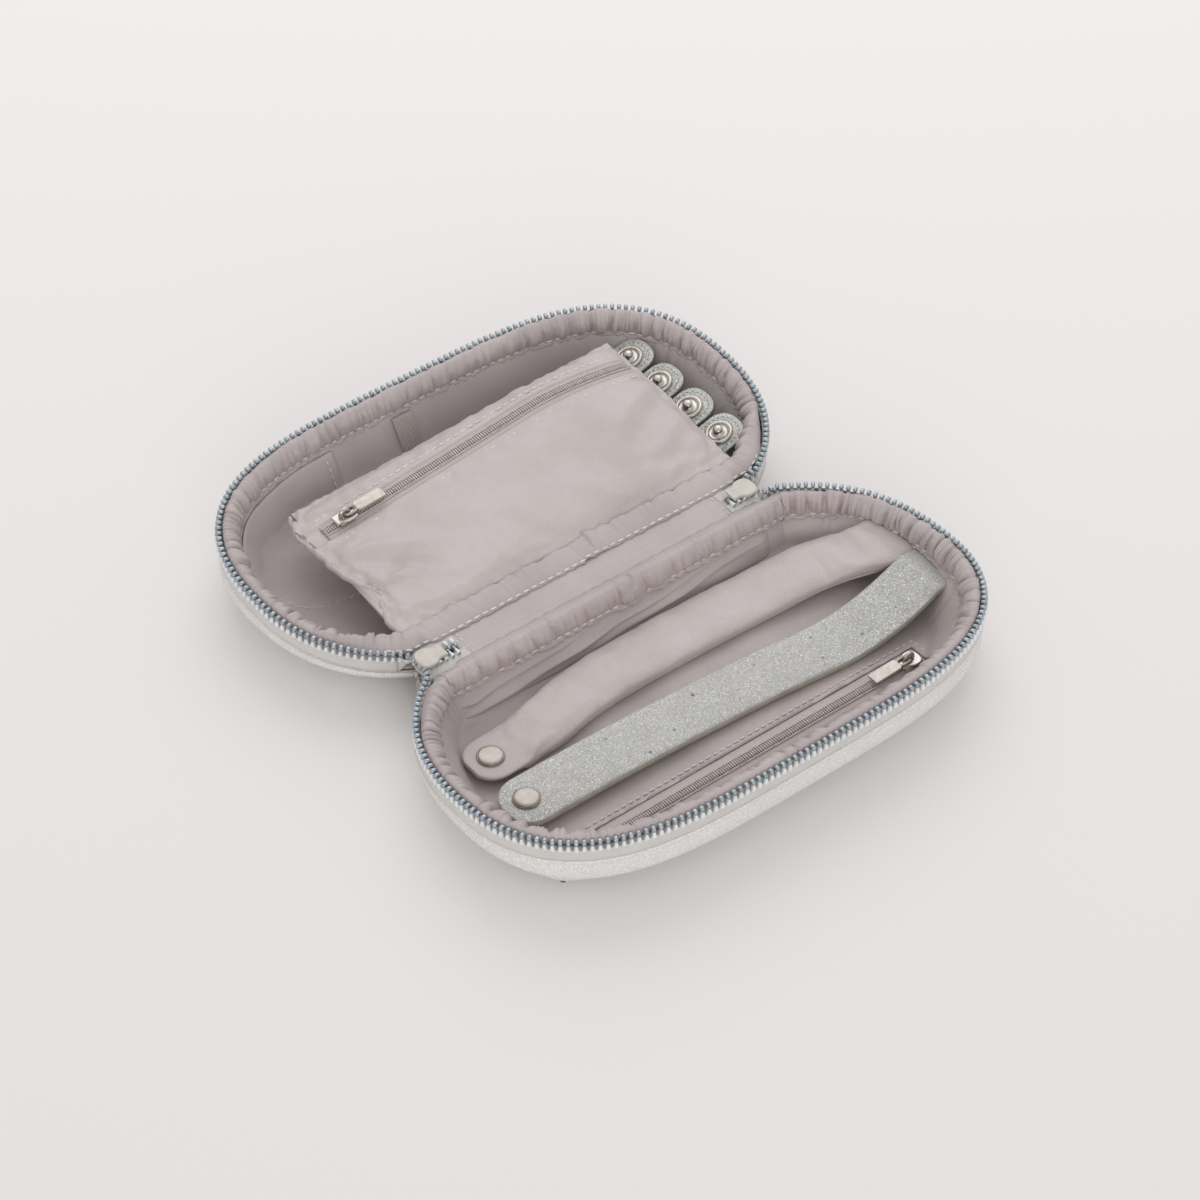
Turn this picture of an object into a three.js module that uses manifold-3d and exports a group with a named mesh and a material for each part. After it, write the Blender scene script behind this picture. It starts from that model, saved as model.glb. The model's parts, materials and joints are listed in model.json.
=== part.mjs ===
// Travel jewellery case, opened flat: a base half, a spine and a lid half, zipped all round.
// X runs along the spine, the lid lies towards +Y, the base towards -Y, and Z is up.
// The origin is on the table under the middle of the spine. All sizes are in millimetres.
import * as THREE from 'three';
import { mergeVertices } from 'three/addons/utils/BufferGeometryUtils.js';
import Module from 'manifold-3d';

const wasm = await Module();
wasm.setup();

// Rim outline of each half: two half superellipses that meet at the widest station
const RIM_HALF_LENGTH = 104.5;
const RIM_WIDEST = 60.1;          // distance of the widest station from the spine line
const RIM_FAR_DEPTH = 55.7;       // from the widest station to the far side
const RIM_NEAR_DEPTH = 66.6;      // from the widest station towards the spine, before the flat
const FAR_POWER_X = 3.8;
const NEAR_POWER_X = 3.14;
const POWER_Y = 2.31;
const RING_COUNT = 56;            // stations round each half

// Heights at the rim
const RIM_HEIGHT = 24;            // rim plane above the table at the spine line
const RIM_SLOPE = THREE.MathUtils.degToRad(3.7);
const TAPE_BAND = 9.8;            // visible zip tape between the shell and the teeth
const STITCH_DROP = 8.8;          // inner stitch line below the rim plane
const SPINE_SEAM_DROP = 4.6;      // shell edge below the rim plane along the spine
const SEAM_RISE_INSET = 12.8;     // the shell edge reaches that level this far in from the spine's ends
const SEAM_RISE_RUN = 13;         // length over which it rises
const SEAM_RISE_DEPTH = 4;        // and how far round the corner it still rises

// Sheets and gaps
const GAP = 0.3;                  // running gap between touching pieces
const INTO = 0.2;                 // how far joined solids run into each other
const SHELL_THICK = 1.4;
const BOARD_THICK = 1.2;
const BAG_THICK = 0.8;
const LINING_THICK = 0.8;
const TAPE_THICK = 1.0;

// Shell, board and lining
const FOLD_HALF_GAP = 4;          // each fold line from the spine's middle line
const FOLD_TO_SHELL = 0.9;
const SHELL_FOOT_INSET = 14;      // rim outline to the shell's footprint
const CORNER_FILL = 5.5;          // how far the darted corners stand out of that footprint
const FOOT_ROUND = 12;            // height of the shell's rounded bottom edge
const WALL_INSET_TOP = 6.9;       // rim outline to the lining wall at the stitch line
const WALL_INSET_FLOOR = 17.5;    // rim outline to the lining wall at the floor
const WALL_INSET_SPINE = 12.5;    // the same on the spine side
const BOARD_TO_WALL = 1;          // board edge inside the foot of the lining wall

// Gathered band round the rim
const BAND_DEPTH = 4.4;
const BAND_CLEAR = 0.6;           // top of the band below the rim plane
const BAND_EDGE = 1.6;            // outer edge of the rounded top below the rim plane
const BAND_SHOULDER = 1.9;        // inner edge of the rounded top below the rim plane
const BAND_FULL = 5.4;            // fullest part of the band below the rim plane
const BAND_FOOT = 0.7;            // foot of the band above the lining
const BAND_SPINE_SHIFT = 1.8;     // the band stands further in along the spine

// Main zip
const TOOTH_PITCH = 2.54;
const TOOTH_HEIGHT = 2.7;
const TOOTH_HALF_WIDTH = 1.35;
const TOOTH_CROWN = 0.6;          // width of a tooth's top as a share of its width
const TOOTH_WEDGE = 0.7;          // height of the wedge under each row
const TOOTH_CLEAR = 0.35;         // tooth tips below the rim plane
const CHAIN_DROP = 2.2;           // middle of the meshed teeth below the rim plane
const CHAIN_HALF_WIDTH = 2.8;
const CHAIN_HALF_HEIGHT = 1.1;
const CHAIN_NOTCH = 0.6;          // height of the notch between two teeth as a share of the chain's
const SLIDER_LENGTH = 13;
const SLIDER_HALF_WIDTH = 5.5;
const SLIDER_HALF_HEIGHT = 2.6;
const SLIDER_PLATE = 1.2;
const SLIDER_POST = 2.2;          // length of the post between a slider's mouths
const SLIDER_POST_HALF = 1.1;
const SLIDER_TO_ROW = 1.4;        // from a slider to the open rows of teeth
const LEFT_TRAVEL = 4.5;          // free run of the left slider towards the spine
const LEFT_SLIDER_GAP = 5.2;      // teeth that show between the spine and the left slider
const RIGHT_SLIDER_GAP = 0.5;

// Spine
const SPINE_LEFT_INSET = 44.7;    // ends of the spine from the ends of the case
const SPINE_RIGHT_INSET = 47.5;
const SPINE_PANEL_THICK = 1.4;
const SPINE_PANEL_LIFT = 0.1;     // panel's inner face above the fold lines

// Pullers and the arches that they hang in
const BAR = 1.1;                  // thickness of a puller and of its end bar
const ARCH_OPEN_X = 2;
const ARCH_OPEN_Z = 1.7;
const ARCH_LEG = 0.8;
const ARCH_HALF_WIDTH = 1;
const PULL_HALF_WIDTH = 2.4;
const PULL_LENGTH = 16.5;
const MAIN_PULL_LENGTH = 15.5;
const PULL_DROOP = THREE.MathUtils.degToRad(3);

// Snaps
const CAP_RADIUS = 4.6;
const CAP_EDGE = 0.4;
const CAP_HEIGHT = 1.3;
const SOCKET_RADIUS = 4.2;
const SOCKET_HEIGHT = 1.3;
const SNAP_FLANGE = 0.6;
const SNAP_POST_RADIUS = 1.5;
const SNAP_POST_HEIGHT = 1;
const SNAP_TIP = 9.2;             // snap centre from the rounded tip of its strap

// Straps of the base
const WALL_CLEAR = 0.4;           // a strap's sewn end from the facets of the lining wall
const ANCHOR_LENGTH = 1.4;        // shortest reach of a sewn end from the wall
const ANCHOR_TRIM = 0.8;          // a sewn end is this much narrower than its strap on each side
const SQUARE_END = 30;            // a strap's sections turn square to X over this length
const STRAP_STEPS = 13;

// Ring roll
const ROLL_HALF_WIDTH = 11.2;
const ROLL_THICK = 8.4;
const ROLL_TAB_HALF_WIDTH = 9.8;
const ROLL_TAB_THICK = 1.8;
const ROLL_TAB_LENGTH = 16;
const ROLL_SHOULDER = 8;          // from the tab's end to the full roll
const ROLL_END_THICK = 4;
const ROLL_LEFT_INSET = 19.7;     // tip of the tab from the end of the case
const ROLL_END_DROP = 9.8;        // underside of the sewn end below the rim plane
const ROLL_RISE_X = 25;           // where the roll starts to rise
const ROLL_THIN_X = 55;           // where it starts to thin
const ROLL_TAB_Y = -39;
const ROLL_MIDDLE_Y = -31.5;
const ROLL_RIGHT_Y = -38.5;
const ROLL_END_Y = -44.5;

// Earring strip
const STRIP_HALF_WIDTH = 10.6;
const STRIP_THICK = 3;
const STRIP_EDGE = 0.9;           // rounding of the strip's edges
const STRIP_LEFT_INSET = 17.2;
const STRIP_END_DROP = 8.6;
const STRIP_RISE_X = -10;
const STRIP_RISE_PAST = 10;       // its rise would end this far past its sewn end
const STRIP_TAB_Y = -62.2;
const STRIP_MIDDLE_Y = -62.8;
const STRIP_RIGHT_Y = -65.2;
const STRIP_END_Y = -65.6;

// Coil zips
const COIL_HALF_WIDTH = 1.7;
const COIL_HEIGHT = 1.3;
const COIL_END = 1;               // a coil stops this far from the ends of its tape
const COIL_TAPE_THICK = 0.6;
const COIL_SLIDER_LENGTH = 9;
const COIL_SLIDER_HALF = 3.5;
const COIL_SLIDER_ROOF = 0.9;
const COIL_SLIDER_SKIRT = 0.6;

// Floor pocket of the base
const POCKET_FAR_INSET = 27.8;    // its zip from the far rim
const POCKET_LEFT_INSET = 38.5;
const POCKET_RIGHT_INSET = 31.5;
const POCKET_HALF_WIDTH = 5.6;    // half of the slot in the lining
const POCKET_SLIDER_INSET = 6.5;  // slider's middle from the slot's right end
const BAG_MARGIN = 4;
const BAG_FRONT = 8;
const BAG_BACK = 40;

// Slip pockets and elastic loop
const SLIP_END_INSET = 34.5;
const SLIP_DROP = 10.2;           // top edge below the rim plane
const SLIP_SEAT = 0.5;            // foot of the pocket off the wall
const SLIP_SLACK = 0.45;          // size of its folds
const SLIP_FOLD_STEP = 1.9;       // phase from station to station, in radians
const FLAT_SEAT = 0.7;            // the lid's flat pocket and loop off the wall
const LID_POCKET_X = -39;
const LID_POCKET_DROP = 1.2;      // its top edge below the stitch line
const LOOP_X = -6.5;
const LOOP_HALF_WIDTH = 4.2;
const LOOP_THICK = 0.9;
const LOOP_DROP = 0.8;

// Pouch
const POUCH_LEFT_INSET = 36;
const POUCH_RIGHT_INSET = 31.8;
const POUCH_NEAR = 15.5;
const POUCH_FAR_INSET = 27.8;
const POUCH_EDGE = 0.8;           // half thickness of the seamed edges
const POUCH_CROWN = 7.4;
const POUCH_BELLY = 6;
const POUCH_NEAR_DROP = 2;        // its seam plane below the rim plane at the spine line
const POUCH_LEFT_DROP = 3;
const POUCH_RIGHT_LIFT = 3;
const POUCH_PEAK_SHARE = 0.67;    // place of the fullest part along the pouch
const POUCH_ZIP_INSET = 16.5;     // zip line from the far edge
const PLATEAU = 5.6;              // half width of the level strip that carries the zip
const POUCH_TAPE_HALF = 4.6;
const POUCH_TAPE_LIFT = 0.45;
const POUCH_TAPE_END = 3.5;       // tape ends from the pouch's side seams
const POUCH_SLIDER_INSET = 12.5;
const POUCH_SEAM_WIDTH = 1.2;
const POUCH_SEAM_END = 2;

// Necklace tabs
const TAB_COUNT = 4;
const TAB_PITCH = 17.4;
const TAB_HALF_WIDTH = 8.2;
const TAB_LENGTH = 15.6;
const TAB_THICK = 2.2;
const TAB_START = 16;             // first tab's middle from the pouch's near edge
const TAB_HINGE_OFF = 0.9;        // tab hinges from the pouch's right edge
const TAB_HINGE_DROP = 6.5;       // and below the rim plane
const TAB_SLOPE = THREE.MathUtils.degToRad(18);
const TAB_STUD_AT = 6.6;          // stud and socket from the hinge line
const TAB_STUD_RADIUS = 5.2;
const TAB_STUD_RIM = 0.9;
const TAB_STUD_DISH = 0.4;
const TAB_STUD_NECK = 1.4;
const TAB_STUD_BALL = 1.9;
const TAB_STUD_HEIGHT = 3.2;
const TAB_SOCKET_HEIGHT = 1;
const TAB_SOCKET_HOLE = 2.2;
const STRAP_ROOT_LENGTH = 32;
const STRAP_JOINED = 12;          // length over which the four straps are one sheet

// Places and levels that follow from the sizes above
const slopeTan = Math.tan(RIM_SLOPE);
const rimZ = (s) => RIM_HEIGHT + s * slopeTan;
const rimFar = RIM_WIDEST + RIM_FAR_DEPTH;
const foldZ = RIM_HEIGHT + FOLD_HALF_GAP * (slopeTan - 1 / Math.cos(RIM_SLOPE));
const shellBack = FOLD_HALF_GAP + FOLD_TO_SHELL;
const boardZ = SHELL_THICK + GAP;
const bagZ = boardZ + BOARD_THICK + GAP;
const liningZ = bagZ + BAG_THICK + GAP;
const floorZ = liningZ + LINING_THICK;
const chainZ = RIM_HEIGHT - CHAIN_DROP;
const spineLeft = SPINE_LEFT_INSET - RIM_HALF_LENGTH;
const spineRight = RIM_HALF_LENGTH - SPINE_RIGHT_INSET;
const leftSliderX = spineLeft - LEFT_SLIDER_GAP - SLIDER_LENGTH / 2;
const rightSliderX = spineRight + RIGHT_SLIDER_GAP + SLIDER_LENGTH / 2;
const rowLeftX = leftSliderX - SLIDER_LENGTH / 2 - SLIDER_TO_ROW;
const rowRightX = rightSliderX + SLIDER_LENGTH / 2 + SLIDER_TO_ROW;
const bandInset = TAPE_THICK / 2 + TOOTH_HALF_WIDTH + GAP;
const boardInset = WALL_INSET_FLOOR + BOARD_TO_WALL;
const studZ = floorZ + GAP;
const socketZ = studZ + SNAP_FLANGE + GAP;
const strapZ = socketZ + SOCKET_HEIGHT + GAP;

const clamp = THREE.MathUtils.clamp;
const smooth = THREE.MathUtils.smoothstep;
const lerp = THREE.MathUtils.lerp;

// Materials
const finish = (color, roughness, metalness = 0) => ({ color, roughness, metalness });
const SATIN = finish(0xc4baba, 0.45);
const SHELL_SKIN = finish(0xdedfdc, 0.5, 0.1);
const GLITTER_SKIN = finish(0xbebeb8, 0.45, 0.25);
const BOARD = finish(0xd9d4cc, 0.9);
const TAPE = finish(0xd7d2cf, 0.85);
const COIL = finish(0xb7a6a4, 0.5);
const STEEL = finish(0x9aa3ab, 0.3, 0.9);
const NICKEL = finish(0xcfcbc6, 0.25, 1);
const CREAM_METAL = finish(0xe6e0d8, 0.4, 0.6);
const ELASTIC = finish(0xb9adae, 0.8);

const root = new THREE.Group();

function addMesh(name, geometry, look, parent = root) {
  const mesh = new THREE.Mesh(geometry, new THREE.MeshStandardMaterial(look));
  mesh.name = name;
  parent.add(mesh);
  return mesh;
}

// A group for one moving sub-part at its place
function station(x, y, z) {
  const group = new THREE.Group();
  group.position.set(x, y, z);
  root.add(group);
  return group;
}

// Turns points and triangles into a geometry whose faces point outwards
function bodyFrom(points, faces) {
  let volume = 0;
  for (const [a, b, c] of faces) {
    const [p, q, r] = [points[a], points[b], points[c]];
    volume += p[0] * (q[1] * r[2] - q[2] * r[1]);
    volume += p[1] * (q[2] * r[0] - q[0] * r[2]);
    volume += p[2] * (q[0] * r[1] - q[1] * r[0]);
  }
  const turned = volume < 0 ? faces.map(([a, b, c]) => [a, c, b]) : faces;
  const geometry = new THREE.BufferGeometry();
  geometry.setAttribute('position', new THREE.Float32BufferAttribute(points.flat(), 3));
  geometry.setIndex(turned.flat());
  geometry.computeVertexNormals();
  return geometry;
}

// A closed body skinned over rings of equal point counts; its ends are capped, or joined if wrap is true
function skin(rings, wrap = false) {
  const count = rings[0].length;
  const points = rings.flat();
  const faces = [];
  const last = wrap ? rings.length : rings.length - 1;
  for (let r = 0; r < last; r++) {
    const here = r * count;
    const next = ((r + 1) % rings.length) * count;
    for (let i = 0; i < count; i++) {
      const j = (i + 1) % count;
      faces.push([here + i, here + j, next + j], [here + i, next + j, next + i]);
    }
  }
  if (!wrap) {
    const capRings = [[0, -1], [rings.length - 1, 1]];
    for (const [r, way] of capRings) {
      const ring = rings[r];
      const middle = [0, 1, 2].map((k) => ring.reduce((sum, p) => sum + p[k], 0) / count);
      const hub = points.push(middle) - 1;
      for (let i = 0; i < count; i++) {
        const a = r * count + i;
        const b = r * count + ((i + 1) % count);
        faces.push(way > 0 ? [hub, a, b] : [hub, b, a]);
      }
    }
  }
  return bodyFrom(points, faces);
}

// Booleans on closed geometries
function toManifold(geometry) {
  const bare = geometry.clone();
  bare.deleteAttribute('normal');
  bare.deleteAttribute('uv');
  const merged = mergeVertices(bare, 1e-4);
  return new wasm.Manifold(new wasm.Mesh({
    numProp: 3,
    vertProperties: new Float32Array(merged.attributes.position.array),
    triVerts: new Uint32Array(merged.index.array),
  }));
}

function fromManifold(solid) {
  const mesh = solid.getMesh();
  const geometry = new THREE.BufferGeometry();
  geometry.setAttribute('position', new THREE.Float32BufferAttribute(mesh.vertProperties, 3));
  geometry.setIndex(Array.from(mesh.triVerts));
  geometry.computeVertexNormals();
  return geometry;
}

const union = (...parts) => fromManifold(parts.map(toManifold).reduce((a, b) => a.add(b)));
const cut = (body, tool) => fromManifold(toManifold(body).subtract(toManifold(tool)));

// A box between two corners
function block(x0, x1, y0, y1, z0, z1) {
  const geometry = new THREE.BoxGeometry(x1 - x0, y1 - y0, z1 - z0);
  return geometry.translate((x0 + x1) / 2, (y0 + y1) / 2, (z0 + z1) / 2);
}

// A flat piece cut to a shape
function plate(shape, z0, thick) {
  const options = { depth: thick, bevelEnabled: false, curveSegments: 3 };
  const geometry = new THREE.ExtrudeGeometry(shape, options);
  return geometry.translate(0, 0, z0);
}

// Small turned pieces, made on the Z axis from a profile of radius and height
function turned(profile, segments = 14) {
  const points = profile.map(([r, z]) => new THREE.Vector2(r, z));
  return new THREE.LatheGeometry(points, segments).rotateX(Math.PI / 2);
}

// Rim curve: point at an angle, x along the spine and s away from it
function rimPoint(angle) {
  const c = Math.cos(angle);
  const n = Math.sin(angle);
  const powerX = n >= 0 ? FAR_POWER_X : NEAR_POWER_X;
  const depth = n >= 0 ? RIM_FAR_DEPTH : RIM_NEAR_DEPTH;
  const x = RIM_HALF_LENGTH * Math.sign(c) * Math.abs(c) ** (2 / powerX);
  const s = RIM_WIDEST + depth * Math.sign(n) * Math.abs(n) ** (2 / POWER_Y);
  return new THREE.Vector2(x, s);
}

// Evenly spaced stations round a fine closed polyline, each with its inward normal
function stationsAlong(fine, count) {
  const along = [0];
  for (let i = 1; i < fine.length; i++) {
    along.push(along[i - 1] + fine[i].distanceTo(fine[i - 1]));
  }
  const total = along[along.length - 1];
  const pick = (distance) => {
    let i = 1;
    while (i < fine.length - 1 && along[i] < distance) i++;
    const t = (distance - along[i - 1]) / (along[i] - along[i - 1]);
    return fine[i - 1].clone().lerp(fine[i], t);
  };
  const stations = [];
  for (let k = 0; k < count; k++) {
    const distance = (total * k) / count;
    const reach = total / count / 2;
    const before = (distance - reach + total) % total;
    const after = (distance + reach) % total;
    const way = pick(after).sub(pick(before)).normalize();
    const point = pick(distance);
    stations.push({ x: point.x, s: point.y, nx: -way.y, ns: way.x });
  }
  return stations;
}

// The whole outline of a half: the rim curve with a flat along the spine
function halfOutline() {
  const fine = [];
  const turn = Math.PI * 2;
  const steps = 720;
  for (let i = 0; i <= steps; i++) {
    const point = rimPoint(-Math.PI / 2 + (turn * i) / steps);
    fine.push(new THREE.Vector2(point.x, Math.max(point.y, shellBack)));
  }
  return stationsAlong(fine, RING_COUNT);
}

// The stretch of an outline that is open to the zip, from the right slider round the far side
function openStretch(stations) {
  const besideSlider = (p) => p.s < RIM_WIDEST && p.x > rowLeftX && p.x < rowRightX;
  const between = (a, b, x) => {
    const t = (x - a.x) / (b.x - a.x);
    const mix = (key) => lerp(a[key], b[key], t);
    return { x, s: mix('s'), nx: mix('nx'), ns: mix('ns') };
  };
  const first = stations.findIndex((p) => !besideSlider(p));
  const last = stations.findLastIndex((p) => !besideSlider(p));
  const start = between(stations[first - 1], stations[first], rowRightX);
  const end = between(stations[last], stations[last + 1], rowLeftX);
  return [start, ...stations.slice(first, last + 1), end];
}

const outline = halfOutline();
const row = openStretch(outline);

// How far a station faces the spine, from 0 to 1
const facesSpine = (p) => smooth(p.ns, 0.35, 0.95);

// How far a station stands at one of the four corners, from 0 to 1
const cornerShare = (p) => (Math.abs(p.nx * p.ns) * 2) ** 3;

// Shell edge at a station: it rises to the spine panel's level between the spine's ends
function shellTopZ(p) {
  const near = 1 - smooth(p.s, shellBack, shellBack + SEAM_RISE_DEPTH);
  const riseX = Math.min(-spineLeft, spineRight);
  const riseEnd = riseX + SEAM_RISE_RUN - SEAM_RISE_INSET;
  const beside = 1 - smooth(Math.abs(p.x), riseX - SEAM_RISE_INSET, riseEnd);
  return rimZ(p.s) - lerp(TAPE_BAND, SPINE_SEAM_DROP, near * beside);
}

const stitchZ = (p) => rimZ(p.s) - STITCH_DROP;

const floorInset = (p) => lerp(WALL_INSET_FLOOR, WALL_INSET_SPINE, facesSpine(p));

// Inset of the lining wall's inner face at a height
function wallInset(p, z) {
  const t = clamp((stitchZ(p) - z) / (stitchZ(p) - floorZ), 0, 1);
  return lerp(WALL_INSET_TOP, floorInset(p), t);
}

// A point at an inset from the rim, in the half whose side is -1 (base) or 1 (lid)
const at = (p, inset, z, side) => [p.x + p.nx * inset, side * (p.s + p.ns * inset), z];

// A ring round the half from an inset rule and a height rule
function ringOf(insetOf, zOf, side) {
  return outline.map((p) => at(p, insetOf(p), zOf(p), side));
}

// X of the lining's right-hand wall in the base at a place and height
function wallX(y, z) {
  const ring = outline.map((p) => at(p, wallInset(p, z), z, -1));
  for (let i = 0; i < ring.length; i++) {
    const a = ring[i];
    const b = ring[(i + 1) % ring.length];
    if (a[0] > 0 && (a[1] - y) * (b[1] - y) <= 0) {
      return lerp(a[0], b[0], (y - a[1]) / (b[1] - a[1]));
    }
  }
  return RIM_HALF_LENGTH;
}

// Outer shell of a half: a tray with a rounded foot and darted corners
function shell(side) {
  const footInset = (p) => SHELL_FOOT_INSET - CORNER_FILL * cornerShare(p);
  const angles = [0, 0.3, 0.62, 1].map((t) => (t * Math.PI) / 2);
  const outer = angles.map((a) => ringOf(
    (p) => footInset(p) * (1 - Math.sin(a)),
    () => FOOT_ROUND * (1 - Math.cos(a)),
    side,
  ));
  const inner = angles.map((a) => ringOf(
    (p) => footInset(p) - (footInset(p) - SHELL_THICK) * Math.sin(a),
    () => FOOT_ROUND - (FOOT_ROUND - SHELL_THICK) * Math.cos(a),
    side,
  ));
  const outerTop = ringOf(() => 0, shellTopZ, side);
  const innerTop = ringOf(() => SHELL_THICK, shellTopZ, side);
  return skin([...outer, outerTop, innerTop, ...inner.reverse()]);
}

function floorBoard(side) {
  const ring = (z) => ringOf(() => boardInset, () => z, side);
  return skin([ring(boardZ), ring(boardZ + BOARD_THICK)]);
}

// Satin lining of a half: floor, slanting wall and the flange that covers the shell's edge
function lining(side) {
  const flangeInset = TAPE_THICK + GAP;
  const flangeZ = (p) => shellTopZ(p) + GAP;
  const foot = (lift, inward) => ringOf(
    (p) => floorInset(p) - inward,
    () => liningZ + lift,
    side,
  );
  return skin([
    foot(0, LINING_THICK),
    ringOf(() => WALL_INSET_TOP - LINING_THICK, (p) => stitchZ(p) - LINING_THICK, side),
    ringOf(() => flangeInset, flangeZ, side),
    ringOf(() => flangeInset, (p) => flangeZ(p) + LINING_THICK, side),
    ringOf(() => WALL_INSET_TOP, stitchZ, side),
    foot(LINING_THICK, 0),
  ]);
}

// The gathered satin band that covers the tape on the inside
function rimBand(side) {
  const bottom = (p) => shellTopZ(p) + GAP + LINING_THICK + GAP;
  const innerBottom = (p) => Math.max(stitchZ(p) + GAP, bottom(p) - BAND_FOOT);
  const loop = (inset, z) => ringOf((p) => inset + BAND_SPINE_SHIFT * facesSpine(p), z, side);
  const inner = bandInset + BAND_DEPTH;
  return skin([
    loop(bandInset, (p) => bottom(p) + INTO),
    loop(inner, (p) => innerBottom(p) + INTO),
    loop(inner, (p) => rimZ(p.s) - BAND_FULL),
    loop(bandInset + BAND_DEPTH * 0.6, (p) => rimZ(p.s) - BAND_SHOULDER),
    loop(bandInset + BAND_DEPTH * 0.25, (p) => rimZ(p.s) - BAND_CLEAR),
    loop(bandInset, (p) => rimZ(p.s) - BAND_EDGE),
  ], true);
}

// A strip along the open stretch of the rim, from section corners of inset and height
function rimStrip(corners, side) {
  return skin(row.map((p) => corners(p).map(([inset, z]) => at(p, inset, z, side))));
}

function zipTape(side) {
  const top = (p) => rimZ(p.s) - TOOTH_CLEAR - TOOTH_HEIGHT - GAP;
  const bottom = (p) => shellTopZ(p) + GAP;
  const thick = TAPE_THICK;
  return rimStrip((p) => [[0, bottom(p)], [0, top(p)], [thick, top(p)], [thick, bottom(p)]], side);
}

function zipTeeth(side) {
  const middle = TAPE_THICK / 2;
  const crown = TOOTH_HALF_WIDTH * TOOTH_CROWN;
  const top = (p) => rimZ(p.s) - TOOTH_CLEAR;
  const low = (p) => top(p) - TOOTH_HEIGHT;
  return rimStrip((p) => [
    [middle - TOOTH_HALF_WIDTH, low(p) + TOOTH_WEDGE],
    [middle - crown, top(p)],
    [middle + crown, top(p)],
    [middle + TOOTH_HALF_WIDTH, low(p) + TOOTH_WEDGE],
    [middle, low(p)],
  ], side);
}

// Arch on a slider that a puller hangs in
function arch(baseZ, middleX) {
  const x = ARCH_OPEN_X / 2;
  const outer = block(
    middleX - x - ARCH_LEG, middleX + x + ARCH_LEG,
    -ARCH_HALF_WIDTH, ARCH_HALF_WIDTH,
    baseZ - INTO, baseZ + ARCH_OPEN_Z + ARCH_LEG,
  );
  const through = ARCH_HALF_WIDTH * 2;
  const hole = block(middleX - x, middleX + x, -through, through, baseZ, baseZ + ARCH_OPEN_Z);
  return cut(outer, hole);
}

// Plan outline of a slider plate, wide at the mouths and drawn in towards the tail,
// in shares of its half length and half width
function sliderPlan(length, halfWidth) {
  const shape = new THREE.Shape();
  const nose = length / 2;
  shape.moveTo(nose, -halfWidth * 0.35);
  shape.lineTo(nose, halfWidth * 0.35);
  shape.quadraticCurveTo(nose * 0.95, halfWidth, nose * 0.35, halfWidth);
  shape.quadraticCurveTo(-nose * 0.3, halfWidth * 0.6, -nose, halfWidth * 0.75);
  shape.lineTo(-nose, -halfWidth * 0.75);
  shape.quadraticCurveTo(-nose * 0.3, -halfWidth * 0.6, nose * 0.35, -halfWidth);
  shape.quadraticCurveTo(nose * 0.95, -halfWidth, nose, -halfWidth * 0.35);
  return shape;
}

// Main slider: two plates, the post between its mouths and the arch for the puller
function mainSlider() {
  const plan = sliderPlan(SLIDER_LENGTH, SLIDER_HALF_WIDTH);
  const nose = SLIDER_LENGTH / 2;
  const top = SLIDER_HALF_HEIGHT;
  const post = block(
    nose - SLIDER_POST, nose - INTO / 2,
    -SLIDER_POST_HALF, SLIDER_POST_HALF,
    INTO - top, top - INTO,
  );
  return union(
    plate(plan, -top, SLIDER_PLATE),
    plate(plan, top - SLIDER_PLATE, SLIDER_PLATE),
    post,
    arch(top, nose - SLIDER_POST),
  );
}

// Puller: a flat tab with a slot whose end bar lies in the slider's arch; the bar's axis is at the origin
function puller(length) {
  const shape = new THREE.Shape();
  shape.moveTo(-BAR / 2, -PULL_HALF_WIDTH);
  shape.lineTo(length, -PULL_HALF_WIDTH);
  shape.lineTo(length, PULL_HALF_WIDTH);
  shape.lineTo(-BAR / 2, PULL_HALF_WIDTH);
  shape.closePath();
  const slot = new THREE.Path();
  const slotEnd = BAR / 2 + ARCH_OPEN_X + 2 * ARCH_LEG;
  const slotHalf = ARCH_HALF_WIDTH + GAP;
  slot.moveTo(BAR / 2, -slotHalf);
  slot.lineTo(BAR / 2, slotHalf);
  slot.lineTo(slotEnd, slotHalf);
  slot.lineTo(slotEnd, -slotHalf);
  slot.closePath();
  shape.holes.push(slot);
  return plate(shape, -BAR / 2, BAR);
}

// One main slider, upside down so that its puller hangs below, with its mouths outwards
function addMainSlider(name, x, turn) {
  const group = station(x, 0, chainZ);
  group.rotation.set(Math.PI, 0, turn, 'ZYX');
  addMesh(`main_slider_${name}`, mainSlider(), CREAM_METAL, group);
  const pull = new THREE.Group();
  pull.position.set(SLIDER_LENGTH / 2 - SLIDER_POST, 0, SLIDER_HALF_HEIGHT + ARCH_OPEN_Z / 2);
  pull.rotation.y = -Math.PI / 2;
  group.add(pull);
  addMesh(`main_pull_${name}`, puller(MAIN_PULL_LENGTH), NICKEL, pull);
}

// Meshed teeth between the spine's end and the slider: a bar notched once per pitch
function chain(x0, x1) {
  const rings = [];
  const count = Math.round(Math.abs(x1 - x0) / TOOTH_PITCH);
  const step = (x1 - x0) / count;
  const section = (x, share) => {
    const h = CHAIN_HALF_HEIGHT * share;
    const w = lerp(CHAIN_HALF_WIDTH, CHAIN_HALF_WIDTH * share, 1 / 4);
    rings.push([[x, -w, -h], [x, w, -h], [x, w, h], [x, -w, h]]);
  };
  for (let i = 0; i < count; i++) {
    const start = x0 + step * i;
    section(start, 1);
    section(start + step * 0.6, 1);
    section(start + step * 0.7, CHAIN_NOTCH);
    section(start + step * 0.9, CHAIN_NOTCH);
  }
  return skin(rings);
}

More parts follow.
